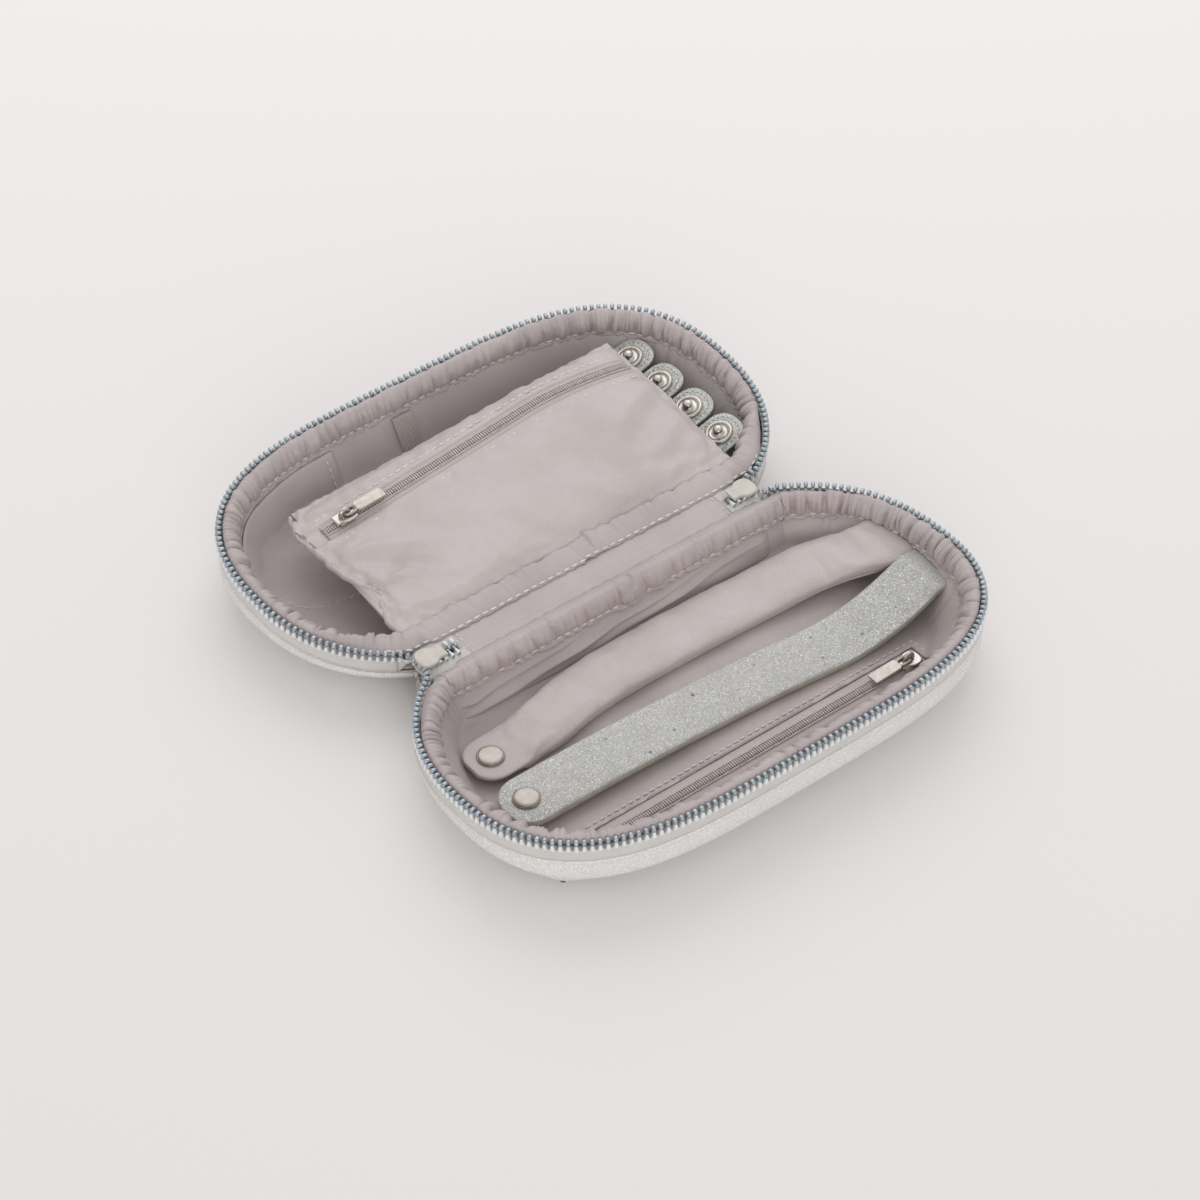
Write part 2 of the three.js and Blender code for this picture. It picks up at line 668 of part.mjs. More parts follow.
// Spine panel and lining, the closed end of the zip at both ends, and the two main sliders
function addSpine() {
  const panelHalf = shellBack - GAP;
  const panelTop = foldZ + SPINE_PANEL_LIFT;
  const liningLow = panelTop + GAP;
  const liningHalf = FOLD_HALF_GAP - GAP;
  addMesh('spine_panel', block(
    spineLeft, spineRight, -panelHalf, panelHalf, panelTop - SPINE_PANEL_THICK, panelTop,
  ), SHELL_SKIN);
  addMesh('spine_lining', block(
    spineLeft, spineRight, -liningHalf, liningHalf, liningLow, liningLow + LINING_THICK,
  ), SATIN);
  const postFace = SLIDER_LENGTH / 2 - SLIDER_POST;
  const leftIn = leftSliderX - postFace + LEFT_TRAVEL + GAP;
  const rightIn = rightSliderX + postFace - GAP;
  const left = addMesh('zip_end_left', chain(spineLeft - GAP, leftIn), STEEL);
  const right = addMesh('zip_end_right', chain(spineRight + GAP, rightIn), STEEL);
  left.position.z = chainZ;
  right.position.z = chainZ;
  addMainSlider('left', leftSliderX, Math.PI);
  addMainSlider('right', rightSliderX, 0);
}

// Snap pieces: a domed cap, a socket with a blind hole and a stud on a flange
const snapCap = () => turned([
  [0, 0], [CAP_RADIUS, 0], [CAP_RADIUS, CAP_EDGE], [CAP_RADIUS * 0.7, CAP_HEIGHT * 0.77], [0, CAP_HEIGHT],
]);

const snapSocket = () => turned([
  [0, SNAP_POST_HEIGHT], [SNAP_POST_RADIUS + GAP, SNAP_POST_HEIGHT], [SNAP_POST_RADIUS + GAP, 0],
  [SOCKET_RADIUS, 0], [SOCKET_RADIUS, SOCKET_HEIGHT], [0, SOCKET_HEIGHT],
]);

function snapStud() {
  const top = SNAP_FLANGE + SNAP_POST_HEIGHT;
  return turned([
    [0, 0], [SOCKET_RADIUS, 0], [SOCKET_RADIUS, SNAP_FLANGE],
    [SNAP_POST_RADIUS, SNAP_FLANGE], [SNAP_POST_RADIUS, top], [0, top],
  ]);
}

// Snap: stud on the floor, socket under the strap and cap on top of it
function addSnap(name, x, y, strapThick) {
  const stud = addMesh(`${name}_snap_stud`, snapStud(), NICKEL);
  const socket = addMesh(`${name}_snap_socket`, snapSocket(), NICKEL);
  const cap = addMesh(`${name}_snap_cap`, snapCap(), NICKEL);
  stud.position.set(x, y, studZ);
  socket.position.set(x, y, socketZ);
  cap.position.set(x, y, strapZ + strapThick + GAP);
}

// A smooth curve y(x) through a few chosen places
function routeThrough(places) {
  const curve = new THREE.CatmullRomCurve3(places.map(([x, y]) => new THREE.Vector3(x, y, 0)));
  const fine = curve.getPoints(200);
  return (x) => {
    let i = 1;
    while (i < fine.length - 1 && fine[i].x < x) i++;
    const t = (x - fine[i - 1].x) / (fine[i].x - fine[i - 1].x);
    return lerp(fine[i - 1].y, fine[i].y, t);
  };
}

// A strap laid along a route: sections across it from a list of x, half width, underside and top
function strap(route, sections, outlineOf) {
  const endX = sections[sections.length - 1][0];
  const rings = sections.map(([x, half, low, high]) => {
    const square = smooth(x, endX - SQUARE_END, endX);
    const rise = (route(x + 1) - route(x - 1)) * (1 - square);
    const length = Math.hypot(2, rise);
    const nx = -rise / length;
    const ny = 2 / length;
    return outlineOf(half, low, high).map(([across, z]) => [x + nx * across, route(x) + ny * across, z]);
  });
  return skin(rings);
}

// Section of a stuffed roll, with full sides and a crown
function puffySection(half, low, high) {
  const sides = 12;
  const points = [];
  const middle = (low + high) / 2;
  const rise = (high - low) / 2;
  for (let i = 0; i < sides; i++) {
    const a = (Math.PI * 2 * i) / sides;
    const c = Math.cos(a);
    const n = Math.sin(a);
    points.push([
      half * Math.sign(c) * Math.abs(c) ** 0.6,
      middle + rise * Math.sign(n) * Math.abs(n) ** 0.8,
    ]);
  }
  return points;
}

// Section of a flat strap with rounded edges
function flatSection(half, low, high) {
  const edge = STRIP_EDGE;
  return [
    [-half, low + edge], [-half + edge, low], [half - edge, low], [half, low + edge],
    [half, high - edge], [half - edge, high], [-half + edge, high], [-half, high - edge],
  ];
}

// Rounded tip of a strap: places along it and half widths, as shares of its full half width
const TIP = [[0.03, 0.24], [0.2, 0.62], [0.5, 0.89], [0.9, 1]];

function roundedTip(leftX, half, low, high) {
  return TIP.map(([along, share]) => [leftX + half * along, half * share, low, high]);
}

// Sewn end of a strap: it fills the space between the strap's end face and the lining wall
function strapAnchor(endX, middleY, strapHalf, z0, z1) {
  const half = strapHalf - ANCHOR_TRIM;
  const steps = 4;
  const rings = [];
  for (let i = 0; i <= steps; i++) {
    const y = lerp(middleY - half, middleY + half, i / steps);
    rings.push([
      [endX + GAP, y, z0], [wallX(y, z0) - WALL_CLEAR, y, z0],
      [wallX(y, z1) - WALL_CLEAR, y, z1], [endX + GAP, y, z1],
    ]);
  }
  return skin(rings);
}

// Where a strap ends, so that its sewn end keeps its shortest reach
const strapEndX = (y, z) => wallX(y, z) - WALL_CLEAR - ANCHOR_LENGTH - GAP;

// Ring roll across the base, with a snap tab at its left end
function addRingRoll() {
  const left = ROLL_LEFT_INSET - RIM_HALF_LENGTH;
  const endZ = RIM_HEIGHT - ROLL_END_DROP;
  const endX = strapEndX(ROLL_END_Y + ROLL_TAB_HALF_WIDTH, endZ);
  const route = routeThrough([
    [left - 4, ROLL_TAB_Y], [left + 12, ROLL_TAB_Y + 0.2], [-35, ROLL_MIDDLE_Y - 0.5],
    [5, ROLL_MIDDLE_Y], [45, ROLL_MIDDLE_Y - 1.7], [75, ROLL_RIGHT_Y],
    [endX, ROLL_END_Y], [endX + 8, ROLL_END_Y - 2.5],
  ]);
  const bed = floorZ + GAP;
  const low = (x) => lerp(bed, endZ, smooth(x, ROLL_RISE_X, endX));
  const tabTop = strapZ + ROLL_TAB_THICK;
  const sections = roundedTip(left, ROLL_TAB_HALF_WIDTH, strapZ, tabTop);
  sections.push([left + ROLL_TAB_LENGTH, ROLL_TAB_HALF_WIDTH, strapZ, tabTop]);
  sections.push([left + ROLL_TAB_LENGTH + 3, ROLL_HALF_WIDTH * 0.95, bed + 0.9, bed + ROLL_THICK * 0.8]);
  const fullX = left + ROLL_TAB_LENGTH + ROLL_SHOULDER;
  for (let i = 0; i <= STRAP_STEPS; i++) {
    const x = lerp(fullX, endX, i / STRAP_STEPS);
    const fade = smooth(x, ROLL_THIN_X, endX);
    const half = lerp(ROLL_HALF_WIDTH, ROLL_TAB_HALF_WIDTH, fade);
    sections.push([x, half, low(x), low(x) + lerp(ROLL_THICK, ROLL_END_THICK, fade)]);
  }
  addMesh('ring_roll', strap(route, sections, puffySection), SATIN);
  addMesh('ring_roll_anchor', strapAnchor(
    endX, ROLL_END_Y, ROLL_TAB_HALF_WIDTH, endZ, endZ + ROLL_END_THICK,
  ), SATIN);
  addSnap('ring', left + SNAP_TIP, route(left + SNAP_TIP), ROLL_TAB_THICK);
}

// Earring strip: a flat leather strap with a snap at its left end
function addEarringStrip() {
  const left = STRIP_LEFT_INSET - RIM_HALF_LENGTH;
  const endZ = RIM_HEIGHT - STRIP_END_DROP;
  const endX = strapEndX(STRIP_END_Y - STRIP_HALF_WIDTH + ANCHOR_TRIM, endZ);
  const route = routeThrough([
    [left - 4, STRIP_TAB_Y], [-40, STRIP_TAB_Y], [-10, (STRIP_TAB_Y + STRIP_MIDDLE_Y) / 2],
    [20, STRIP_MIDDLE_Y], [53, STRIP_RIGHT_Y], [endX, STRIP_END_Y], [endX + 8, STRIP_END_Y + 0.8],
  ]);
  const low = (x) => lerp(strapZ, endZ, smooth(x, STRIP_RISE_X, endX + STRIP_RISE_PAST));
  const sections = roundedTip(left, STRIP_HALF_WIDTH, strapZ, strapZ + STRIP_THICK);
  for (let i = 1; i <= STRAP_STEPS; i++) {
    const x = lerp(left + STRIP_HALF_WIDTH, endX, i / STRAP_STEPS);
    sections.push([x, STRIP_HALF_WIDTH, low(x), low(x) + STRIP_THICK]);
  }
  addMesh('earring_strip', strap(route, sections, flatSection), GLITTER_SKIN);
  addMesh('earring_strip_anchor', strapAnchor(
    endX, STRIP_END_Y, STRIP_HALF_WIDTH, low(endX), low(endX) + STRIP_THICK,
  ), GLITTER_SKIN);
  addSnap('strip', left + SNAP_TIP, route(left + SNAP_TIP), STRIP_THICK);
}

// Coil slider: a saddle over the coil with an arch on top, its running face at z 0
const saddleZ = COIL_HEIGHT + GAP * 2;
const saddleTop = saddleZ + COIL_SLIDER_ROOF;

function coilSlider() {
  const nose = COIL_SLIDER_LENGTH / 2;
  const inner = COIL_HALF_WIDTH + GAP;
  const outer = inner + COIL_SLIDER_SKIRT;
  const roof = plate(sliderPlan(COIL_SLIDER_LENGTH, COIL_SLIDER_HALF), saddleZ, COIL_SLIDER_ROOF);
  const skirt = (y0, y1) => block(-nose * 0.8, nose * 0.6, y0, y1, GAP, saddleZ + INTO);
  return union(roof, skirt(inner, outer), skirt(-outer, -inner), arch(saddleTop, 0));
}

// A coil slider and its puller in a group whose X runs along the coil
function addCoilSlider(name, group, turn) {
  addMesh(`${name}_slider`, coilSlider(), NICKEL, group);
  const pull = new THREE.Group();
  pull.position.z = saddleTop + ARCH_OPEN_Z / 2;
  pull.rotation.set(0, PULL_DROOP, turn, 'ZYX');
  group.add(pull);
  addMesh(`${name}_pull`, puller(PULL_LENGTH), NICKEL, pull);
}

// Floor pocket of the base: its zip lies in a slot of the lining, its bag under the lining
const pocketY = POCKET_FAR_INSET - rimFar;
const pocketLeft = POCKET_LEFT_INSET - RIM_HALF_LENGTH;
const pocketRight = RIM_HALF_LENGTH - POCKET_RIGHT_INSET;

function baseLining() {
  const slot = block(
    pocketLeft, pocketRight,
    pocketY - POCKET_HALF_WIDTH, pocketY + POCKET_HALF_WIDTH,
    liningZ - LINING_THICK, floorZ + LINING_THICK,
  );
  return cut(lining(-1), slot);
}

function addFloorPocket() {
  const half = POCKET_HALF_WIDTH - GAP;
  const tapeTop = liningZ + COIL_TAPE_THICK;
  addMesh('floor_pocket_tape', block(
    pocketLeft + GAP, pocketRight - GAP, pocketY - half, pocketY + half, liningZ, tapeTop,
  ), TAPE);
  addMesh('floor_pocket_coil', block(
    pocketLeft + COIL_END, pocketRight - COIL_END,
    pocketY - COIL_HALF_WIDTH, pocketY + COIL_HALF_WIDTH,
    tapeTop + GAP, tapeTop + GAP + COIL_HEIGHT,
  ), COIL);
  addCoilSlider('floor_pocket', station(pocketRight - POCKET_SLIDER_INSET, pocketY, tapeTop), Math.PI);
  addMesh('floor_pocket_bag', block(
    pocketLeft - BAG_MARGIN, pocketRight + BAG_MARGIN,
    pocketY - BAG_FRONT, pocketY + BAG_BACK,
    bagZ, bagZ + BAG_THICK,
  ), SATIN);
}

// Slack satin pocket along the base's spine-side wall
function addBaseSlipPocket() {
  const end = RIM_HALF_LENGTH - SLIP_END_INSET;
  const stations = outline.filter((p) => p.ns > 0.97 && Math.abs(p.x) < end);
  stations.sort((a, b) => a.x - b.x);
  const low = floorZ + GAP;
  const top = RIM_HEIGHT - SLIP_DROP;
  const rings = stations.map((p, i) => {
    const slack = SLIP_SLACK * (1.5 + Math.sin(i * SLIP_FOLD_STEP));
    const off = [
      [low, SLIP_SEAT],
      [(low + top) / 2, SLIP_SEAT + slack],
      [top, SLIP_SEAT + LINING_THICK + slack],
    ];
    const back = off.map(([z, o]) => at(p, wallInset(p, z) + o, z, -1));
    const front = off.map(([z, o]) => at(p, wallInset(p, z) + o + LINING_THICK, z, -1));
    return [...back, ...front.reverse()];
  });
  addMesh('base_slip_pocket', skin(rings), SATIN);
}

// Pouch that lies in the lid, sewn along its spine-side edge
const pouchLeft = POUCH_LEFT_INSET - RIM_HALF_LENGTH;
const pouchRight = RIM_HALF_LENGTH - POUCH_RIGHT_INSET;
const pouchFar = rimFar - POUCH_FAR_INSET;
const pouchZipY = pouchFar - POUCH_ZIP_INSET;
const pouchPeakX = lerp(pouchLeft, pouchRight, POUCH_PEAK_SHARE);
const pouchNearZ = RIM_HEIGHT - POUCH_NEAR_DROP;

const pouchU = (x) => (x - pouchLeft) / (pouchRight - pouchLeft);
const pouchV = (y) => (y - POUCH_NEAR) / (pouchFar - POUCH_NEAR);

// Height of the pouch's seam plane, level across the zip strip
function pouchEdgeZ(x, y) {
  const far = RIM_HEIGHT + lerp(-POUCH_LEFT_DROP, POUCH_RIGHT_LIFT, pouchU(x));
  return lerp(pouchNearZ, far, smooth(y, POUCH_NEAR, pouchZipY - PLATEAU));
}

// Rounded rise from 0 to 1 and fall from 1 to 0 as t goes from 0 to 1
const swellUp = (t) => Math.sin((clamp(t, 0, 1) * Math.PI) / 2) ** 0.8;
const swellDown = (t) => swellUp(1 - t);

// Swell along X: a straight rise to the peak, then a rounded fall
function pouchSwellX(x) {
  if (x < pouchPeakX) return (x - pouchLeft) / (pouchPeakX - pouchLeft);
  return swellDown((x - pouchPeakX) / (pouchRight - pouchPeakX));
}

// Swell across Y: up to the zip strip, level over it and down to the far edge
function pouchSwellY(y) {
  const start = pouchZipY - PLATEAU;
  const end = pouchZipY + PLATEAU;
  if (y < start) return swellUp((y - POUCH_NEAR) / (start - POUCH_NEAR));
  return swellDown((y - end) / (pouchFar - end));
}

const pouchTop = (x, y) => pouchEdgeZ(x, y) + POUCH_EDGE + POUCH_CROWN * pouchSwellX(x) * pouchSwellY(y);

function pouchBottom(x, y) {
  const share = Math.sin(Math.PI * pouchU(x)) * Math.sin(Math.PI * pouchV(y));
  return pouchEdgeZ(x, y) - POUCH_EDGE - POUCH_BELLY * Math.max(share, 0) ** 0.6;
}

// Evenly spaced places from x0 to x1, with the pouch's peak among them
function placesWithPeak(x0, x1, steps) {
  const places = [];
  for (let i = 0; i <= steps; i++) places.push(lerp(x0, x1, i / steps));
  places.push(pouchPeakX);
  return places.sort((a, b) => a - b);
}

function pouchBody() {
  const start = pouchZipY - PLATEAU;
  const end = pouchZipY + PLATEAU;
  const ys = [0, 0.12, 0.3, 0.5, 0.72, 1].map((t) => lerp(POUCH_NEAR, start, t));
  ys.push(...[0, 0.45, 0.82, 1].map((t) => lerp(end, pouchFar, t)));
  const rings = placesWithPeak(pouchLeft, pouchRight, 15).map((x) => [
    ...ys.map((y) => [x, y, pouchTop(x, y)]),
    ...[...ys].reverse().map((y) => [x, y, pouchBottom(x, y)]),
  ]);
  return skin(rings);
}

// A thin strip laid on the pouch along its zip, from half width, lift, thickness and end inset
function pouchStrip(half, lift, thick, inset) {
  return skin(placesWithPeak(pouchLeft + inset, pouchRight - inset, 14).map((x) => {
    const z = pouchTop(x, pouchZipY) + lift;
    const [a, b] = [pouchZipY - half, pouchZipY + half];
    return [[x, a, z], [x, b, z], [x, b, z + thick], [x, a, z + thick]];
  }));
}

function addPouch() {
  addMesh('pouch', pouchBody(), SATIN);
  const seamFar = POUCH_NEAR - GAP * 2;
  addMesh('pouch_seam', block(
    pouchLeft + POUCH_SEAM_END, pouchRight - POUCH_SEAM_END,
    seamFar - POUCH_SEAM_WIDTH, seamFar,
    pouchNearZ - POUCH_EDGE, pouchNearZ + POUCH_EDGE,
  ), SATIN);
  const tapeTop = POUCH_TAPE_LIFT + COIL_TAPE_THICK;
  addMesh('pouch_zip_tape', pouchStrip(
    POUCH_TAPE_HALF, POUCH_TAPE_LIFT, COIL_TAPE_THICK, POUCH_TAPE_END,
  ), TAPE);
  addMesh('pouch_zip_coil', pouchStrip(
    COIL_HALF_WIDTH, tapeTop + GAP, COIL_HEIGHT, POUCH_TAPE_END + COIL_END,
  ), COIL);
  const sliderX = pouchLeft + POUCH_SLIDER_INSET;
  const sliderZ = pouchTop(sliderX, pouchZipY);
  const group = station(sliderX, pouchZipY, sliderZ + tapeTop);
  group.rotation.y = -Math.atan2(pouchTop(pouchPeakX, pouchZipY) - sliderZ, pouchPeakX - sliderX);
  addCoilSlider('pouch', group, 0);
}

// Plan of one tab, with its round tip, from the hinge line along X
function tabShape() {
  const shape = new THREE.Shape();
  const bend = TAB_LENGTH - TAB_HALF_WIDTH;
  shape.moveTo(GAP, -TAB_HALF_WIDTH);
  shape.lineTo(bend, -TAB_HALF_WIDTH);
  shape.absarc(bend, 0, TAB_HALF_WIDTH, -Math.PI / 2, Math.PI / 2, false);
  shape.lineTo(GAP, TAB_HALF_WIDTH);
  shape.closePath();
  return shape;
}

// Dished ring with a ball-headed post
function tabStud() {
  const dish = TAB_STUD_DISH;
  const dishRadius = (TAB_STUD_RADIUS + TAB_STUD_NECK) / 2;
  return turned([
    [0, 0], [TAB_STUD_RADIUS, 0], [TAB_STUD_RADIUS, TAB_STUD_RIM * 0.7], [dishRadius, TAB_STUD_RIM],
    [dishRadius - dish, dish], [TAB_STUD_NECK, dish], [TAB_STUD_NECK, TAB_STUD_HEIGHT * 0.55],
    [TAB_STUD_BALL, TAB_STUD_HEIGHT * 0.78], [0, TAB_STUD_HEIGHT],
  ], 12);
}

function tabSocket() {
  const hole = TAB_SOCKET_HOLE;
  const low = TAB_SOCKET_HEIGHT * 0.4;
  return turned([
    [0, 0], [SOCKET_RADIUS, 0], [SOCKET_RADIUS, TAB_SOCKET_HEIGHT], [hole, TAB_SOCKET_HEIGHT],
    [hole, low], [0, low],
  ], 12);
}

const tabY = (i) => POUCH_NEAR + TAB_START + TAB_PITCH * i;

// The sheet that the four tabs are cut from, seen from above with the hinge line at x 0
function strapRoot() {
  const shape = new THREE.Shape();
  const slitEnd = STRAP_JOINED - STRAP_ROOT_LENGTH;
  shape.moveTo(-STRAP_ROOT_LENGTH, tabY(0) - TAB_HALF_WIDTH);
  for (let i = 0; i < TAB_COUNT; i++) {
    if (i > 0) shape.lineTo(slitEnd, tabY(i) - TAB_HALF_WIDTH);
    shape.lineTo(-GAP, tabY(i) - TAB_HALF_WIDTH);
    shape.lineTo(-GAP, tabY(i) + TAB_HALF_WIDTH);
    if (i < TAB_COUNT - 1) shape.lineTo(slitEnd, tabY(i) + TAB_HALF_WIDTH);
  }
  shape.lineTo(-STRAP_ROOT_LENGTH, tabY(TAB_COUNT - 1) + TAB_HALF_WIDTH);
  shape.closePath();
  return plate(shape, -TAB_THICK, TAB_THICK);
}

// Necklace tabs along the pouch's right edge: four straps that rise to the end wall
function addNecklaceTabs() {
  const hingeX = pouchRight + TAB_HINGE_OFF;
  const hingeZ = RIM_HEIGHT - TAB_HINGE_DROP;
  const rootGroup = station(hingeX, 0, hingeZ);
  rootGroup.rotation.y = -TAB_SLOPE;
  addMesh('necklace_strap_root', strapRoot(), GLITTER_SKIN, rootGroup);
  for (let i = 0; i < TAB_COUNT; i++) {
    const group = station(hingeX, tabY(i), hingeZ);
    group.rotation.y = -TAB_SLOPE;
    addMesh(`necklace_tab_${i + 1}`, plate(tabShape(), -TAB_THICK, TAB_THICK), GLITTER_SKIN, group);
    const stud = addMesh(`necklace_stud_${i + 1}`, tabStud(), NICKEL, group);
    const socket = addMesh(`necklace_socket_${i + 1}`, tabSocket(), NICKEL, group);
    stud.position.set(TAB_STUD_AT, 0, GAP);
    socket.position.set(-TAB_STUD_AT, 0, GAP);
  }
}

// Elastic loop, lying flat on the lid's far wall
function addElasticLoop() {
  const stitch = rimZ(rimFar) - STITCH_DROP;
  const low = floorZ + GAP + INTO;
  const top = stitch - LOOP_DROP;
  const wallY = (z) => {
    const t = (stitch - z) / (stitch - floorZ);
    return rimFar - lerp(WALL_INSET_TOP, WALL_INSET_FLOOR, t) - FLAT_SEAT;
  };
  const ring = (x) => [
    [x, wallY(low), low], [x, wallY(top), top],
    [x, wallY(top) - LOOP_THICK, top], [x, wallY(low) - LOOP_THICK, low],
  ];
  addMesh('elastic_loop', skin([ring(LOOP_X - LOOP_HALF_WIDTH), ring(LOOP_X + LOOP_HALF_WIDTH)]), ELASTIC);
}

// Flat slip pocket on the lid's far left wall
function addLidSlipPocket() {
  const bearing = (p) => Math.atan2(p.s - RIM_WIDEST, -p.x);
  const stations = outline.filter((p) => p.s > RIM_WIDEST && p.x < LID_POCKET_X);
  stations.sort((a, b) => bearing(a) - bearing(b));
  const low = floorZ + GAP * 2;
  const rings = stations.map((p) => {
    const top = stitchZ(p) - LID_POCKET_DROP;
    const point = (z, off) => at(p, wallInset(p, z) + FLAT_SEAT + off, z, 1);
    return [point(low, 0), point(top, 0), point(top, LINING_THICK), point(low, LINING_THICK)];
  });
  addMesh('lid_slip_pocket', skin(rings), SATIN);
}

for (const [name, side] of [['base', -1], ['lid', 1]]) {
  addMesh(`${name}_shell`, shell(side), SHELL_SKIN);
  addMesh(`${name}_board`, floorBoard(side), BOARD);
  addMesh(`${name}_lining`, side < 0 ? baseLining() : lining(side), SATIN);
  addMesh(`${name}_rim_band`, rimBand(side), SATIN);
  addMesh(`${name}_zip_tape`, zipTape(side), TAPE);
  addMesh(`${name}_zip_teeth`, zipTeeth(side), STEEL);
}

addSpine();
addRingRoll();
addEarringStrip();
addFloorPocket();
addBaseSlipPocket();
addPouch();
addNecklaceTabs();
addElasticLoop();
addLidSlipPocket();

export default root;
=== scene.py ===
import json
import math
import random

import bmesh
import bpy
import numpy as np
from mathutils import Matrix, Vector, noise
from mathutils.bvhtree import BVHTree


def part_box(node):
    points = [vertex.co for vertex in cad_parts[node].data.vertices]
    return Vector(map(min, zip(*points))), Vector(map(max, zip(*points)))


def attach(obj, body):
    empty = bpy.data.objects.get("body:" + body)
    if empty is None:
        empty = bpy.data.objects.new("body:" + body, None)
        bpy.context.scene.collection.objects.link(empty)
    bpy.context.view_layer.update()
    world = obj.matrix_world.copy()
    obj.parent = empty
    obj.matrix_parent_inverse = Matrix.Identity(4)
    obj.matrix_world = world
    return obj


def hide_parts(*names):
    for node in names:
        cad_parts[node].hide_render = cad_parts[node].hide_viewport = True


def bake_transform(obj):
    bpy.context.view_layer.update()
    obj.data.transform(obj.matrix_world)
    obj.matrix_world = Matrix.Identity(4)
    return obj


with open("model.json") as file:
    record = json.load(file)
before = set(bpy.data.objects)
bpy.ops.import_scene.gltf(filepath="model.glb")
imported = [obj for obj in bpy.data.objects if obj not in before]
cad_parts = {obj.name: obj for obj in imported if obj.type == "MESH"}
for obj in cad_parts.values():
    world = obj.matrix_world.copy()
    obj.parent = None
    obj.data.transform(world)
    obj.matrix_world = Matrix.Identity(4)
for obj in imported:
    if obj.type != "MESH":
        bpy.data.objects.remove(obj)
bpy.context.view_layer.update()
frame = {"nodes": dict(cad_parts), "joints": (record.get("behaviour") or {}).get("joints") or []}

MM = 0.001
UP = (0, 0, 1)


def node_box(name):
    low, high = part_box(name)
    return np.array(low) / MM, np.array(high) / MM


def rgb(code):
    channels = [int(code[i:i + 2], 16) / 255 for i in (0, 2, 4)]
    linear = [c / 12.92 if c <= 0.04045 else ((c + 0.055) / 1.055) ** 2.4 for c in channels]
    return (*linear, 1)


def smooth(t, a, b):
    t = np.clip((np.asarray(t, float) - a) / (b - a), 0, 1)
    return t * t * (3 - 2 * t)


def lerp(a, b, t):
    return a + (b - a) * t


def powered(v, power):
    """Signed power, which makes an outline of cosines and sines squarer."""
    return np.sign(v) * np.abs(v) ** power


def angles(count):
    return np.arange(count) * 2 * math.pi / count


def circle(sides):
    return np.cos(angles(sides)), np.sin(angles(sides))


def columns(*values):
    """Points from their coordinates, any of which may be a single number."""
    return np.stack(np.broadcast_arrays(*values), axis=-1)


def lengths(path):
    """Length along a path at each of its points."""
    return np.concatenate([[0], np.cumsum(np.linalg.norm(np.diff(path, axis=0), axis=1))])


def spot(path, along, u):
    """The point of a path at length u."""
    return np.array([np.interp(u, along, path[:, k]) for k in range(3)])


def shifted(shape, offset):
    return shape[0] + offset, shape[1]


# Rim outline of a half, as in the solids: two half superellipses cut off by a flat along the spine
HALF_LENGTH = node_box("lid_shell")[1][0]
RIM_FAR = node_box("lid_shell")[1][1]
SHELL_BACK = node_box("lid_shell")[0][1]
RIM_WIDEST = 60.1
NEAR_DEPTH = 66.6
FAR_POWER_X = 3.8
NEAR_POWER_X = 3.14
POWER_Y = 2.31
RIM_HEIGHT = 24
RIM_SLOPE = math.radians(3.7)
TAPE_BAND = 9.8
STITCH_DROP = 8.8
SPINE_SEAM_DROP = 4.6
FLOOR_Z = 5.1
WALL_INSET_TOP = 6.9
WALL_INSET_FLOOR = 17.5
WALL_INSET_SPINE = 12.5
SHELL_FOOT_INSET = 17
SPINE_FOOT_INSET = 13
FOOT_TOP = 0.108
SHELL_THICK = 1.5
LINING_THICK = 0.8
CORNER_FILL = 4
DART_POINT = 3.5
FOOT_ROUND = 13
FOOT_SLANT = 1.25
SPINE_LEFT = node_box("spine_lining")[0][0]
SPINE_RIGHT = node_box("spine_lining")[1][0]
SIDES = {"base": -1, "lid": 1}
BODY = {"base": "root", "lid": "lid"}


DEEP_INSET = 9.5
MIDDLE_S = 60
NORMAL_REACH = 1.5


def rim_z(s):
    return RIM_HEIGHT + s * math.tan(RIM_SLOPE)


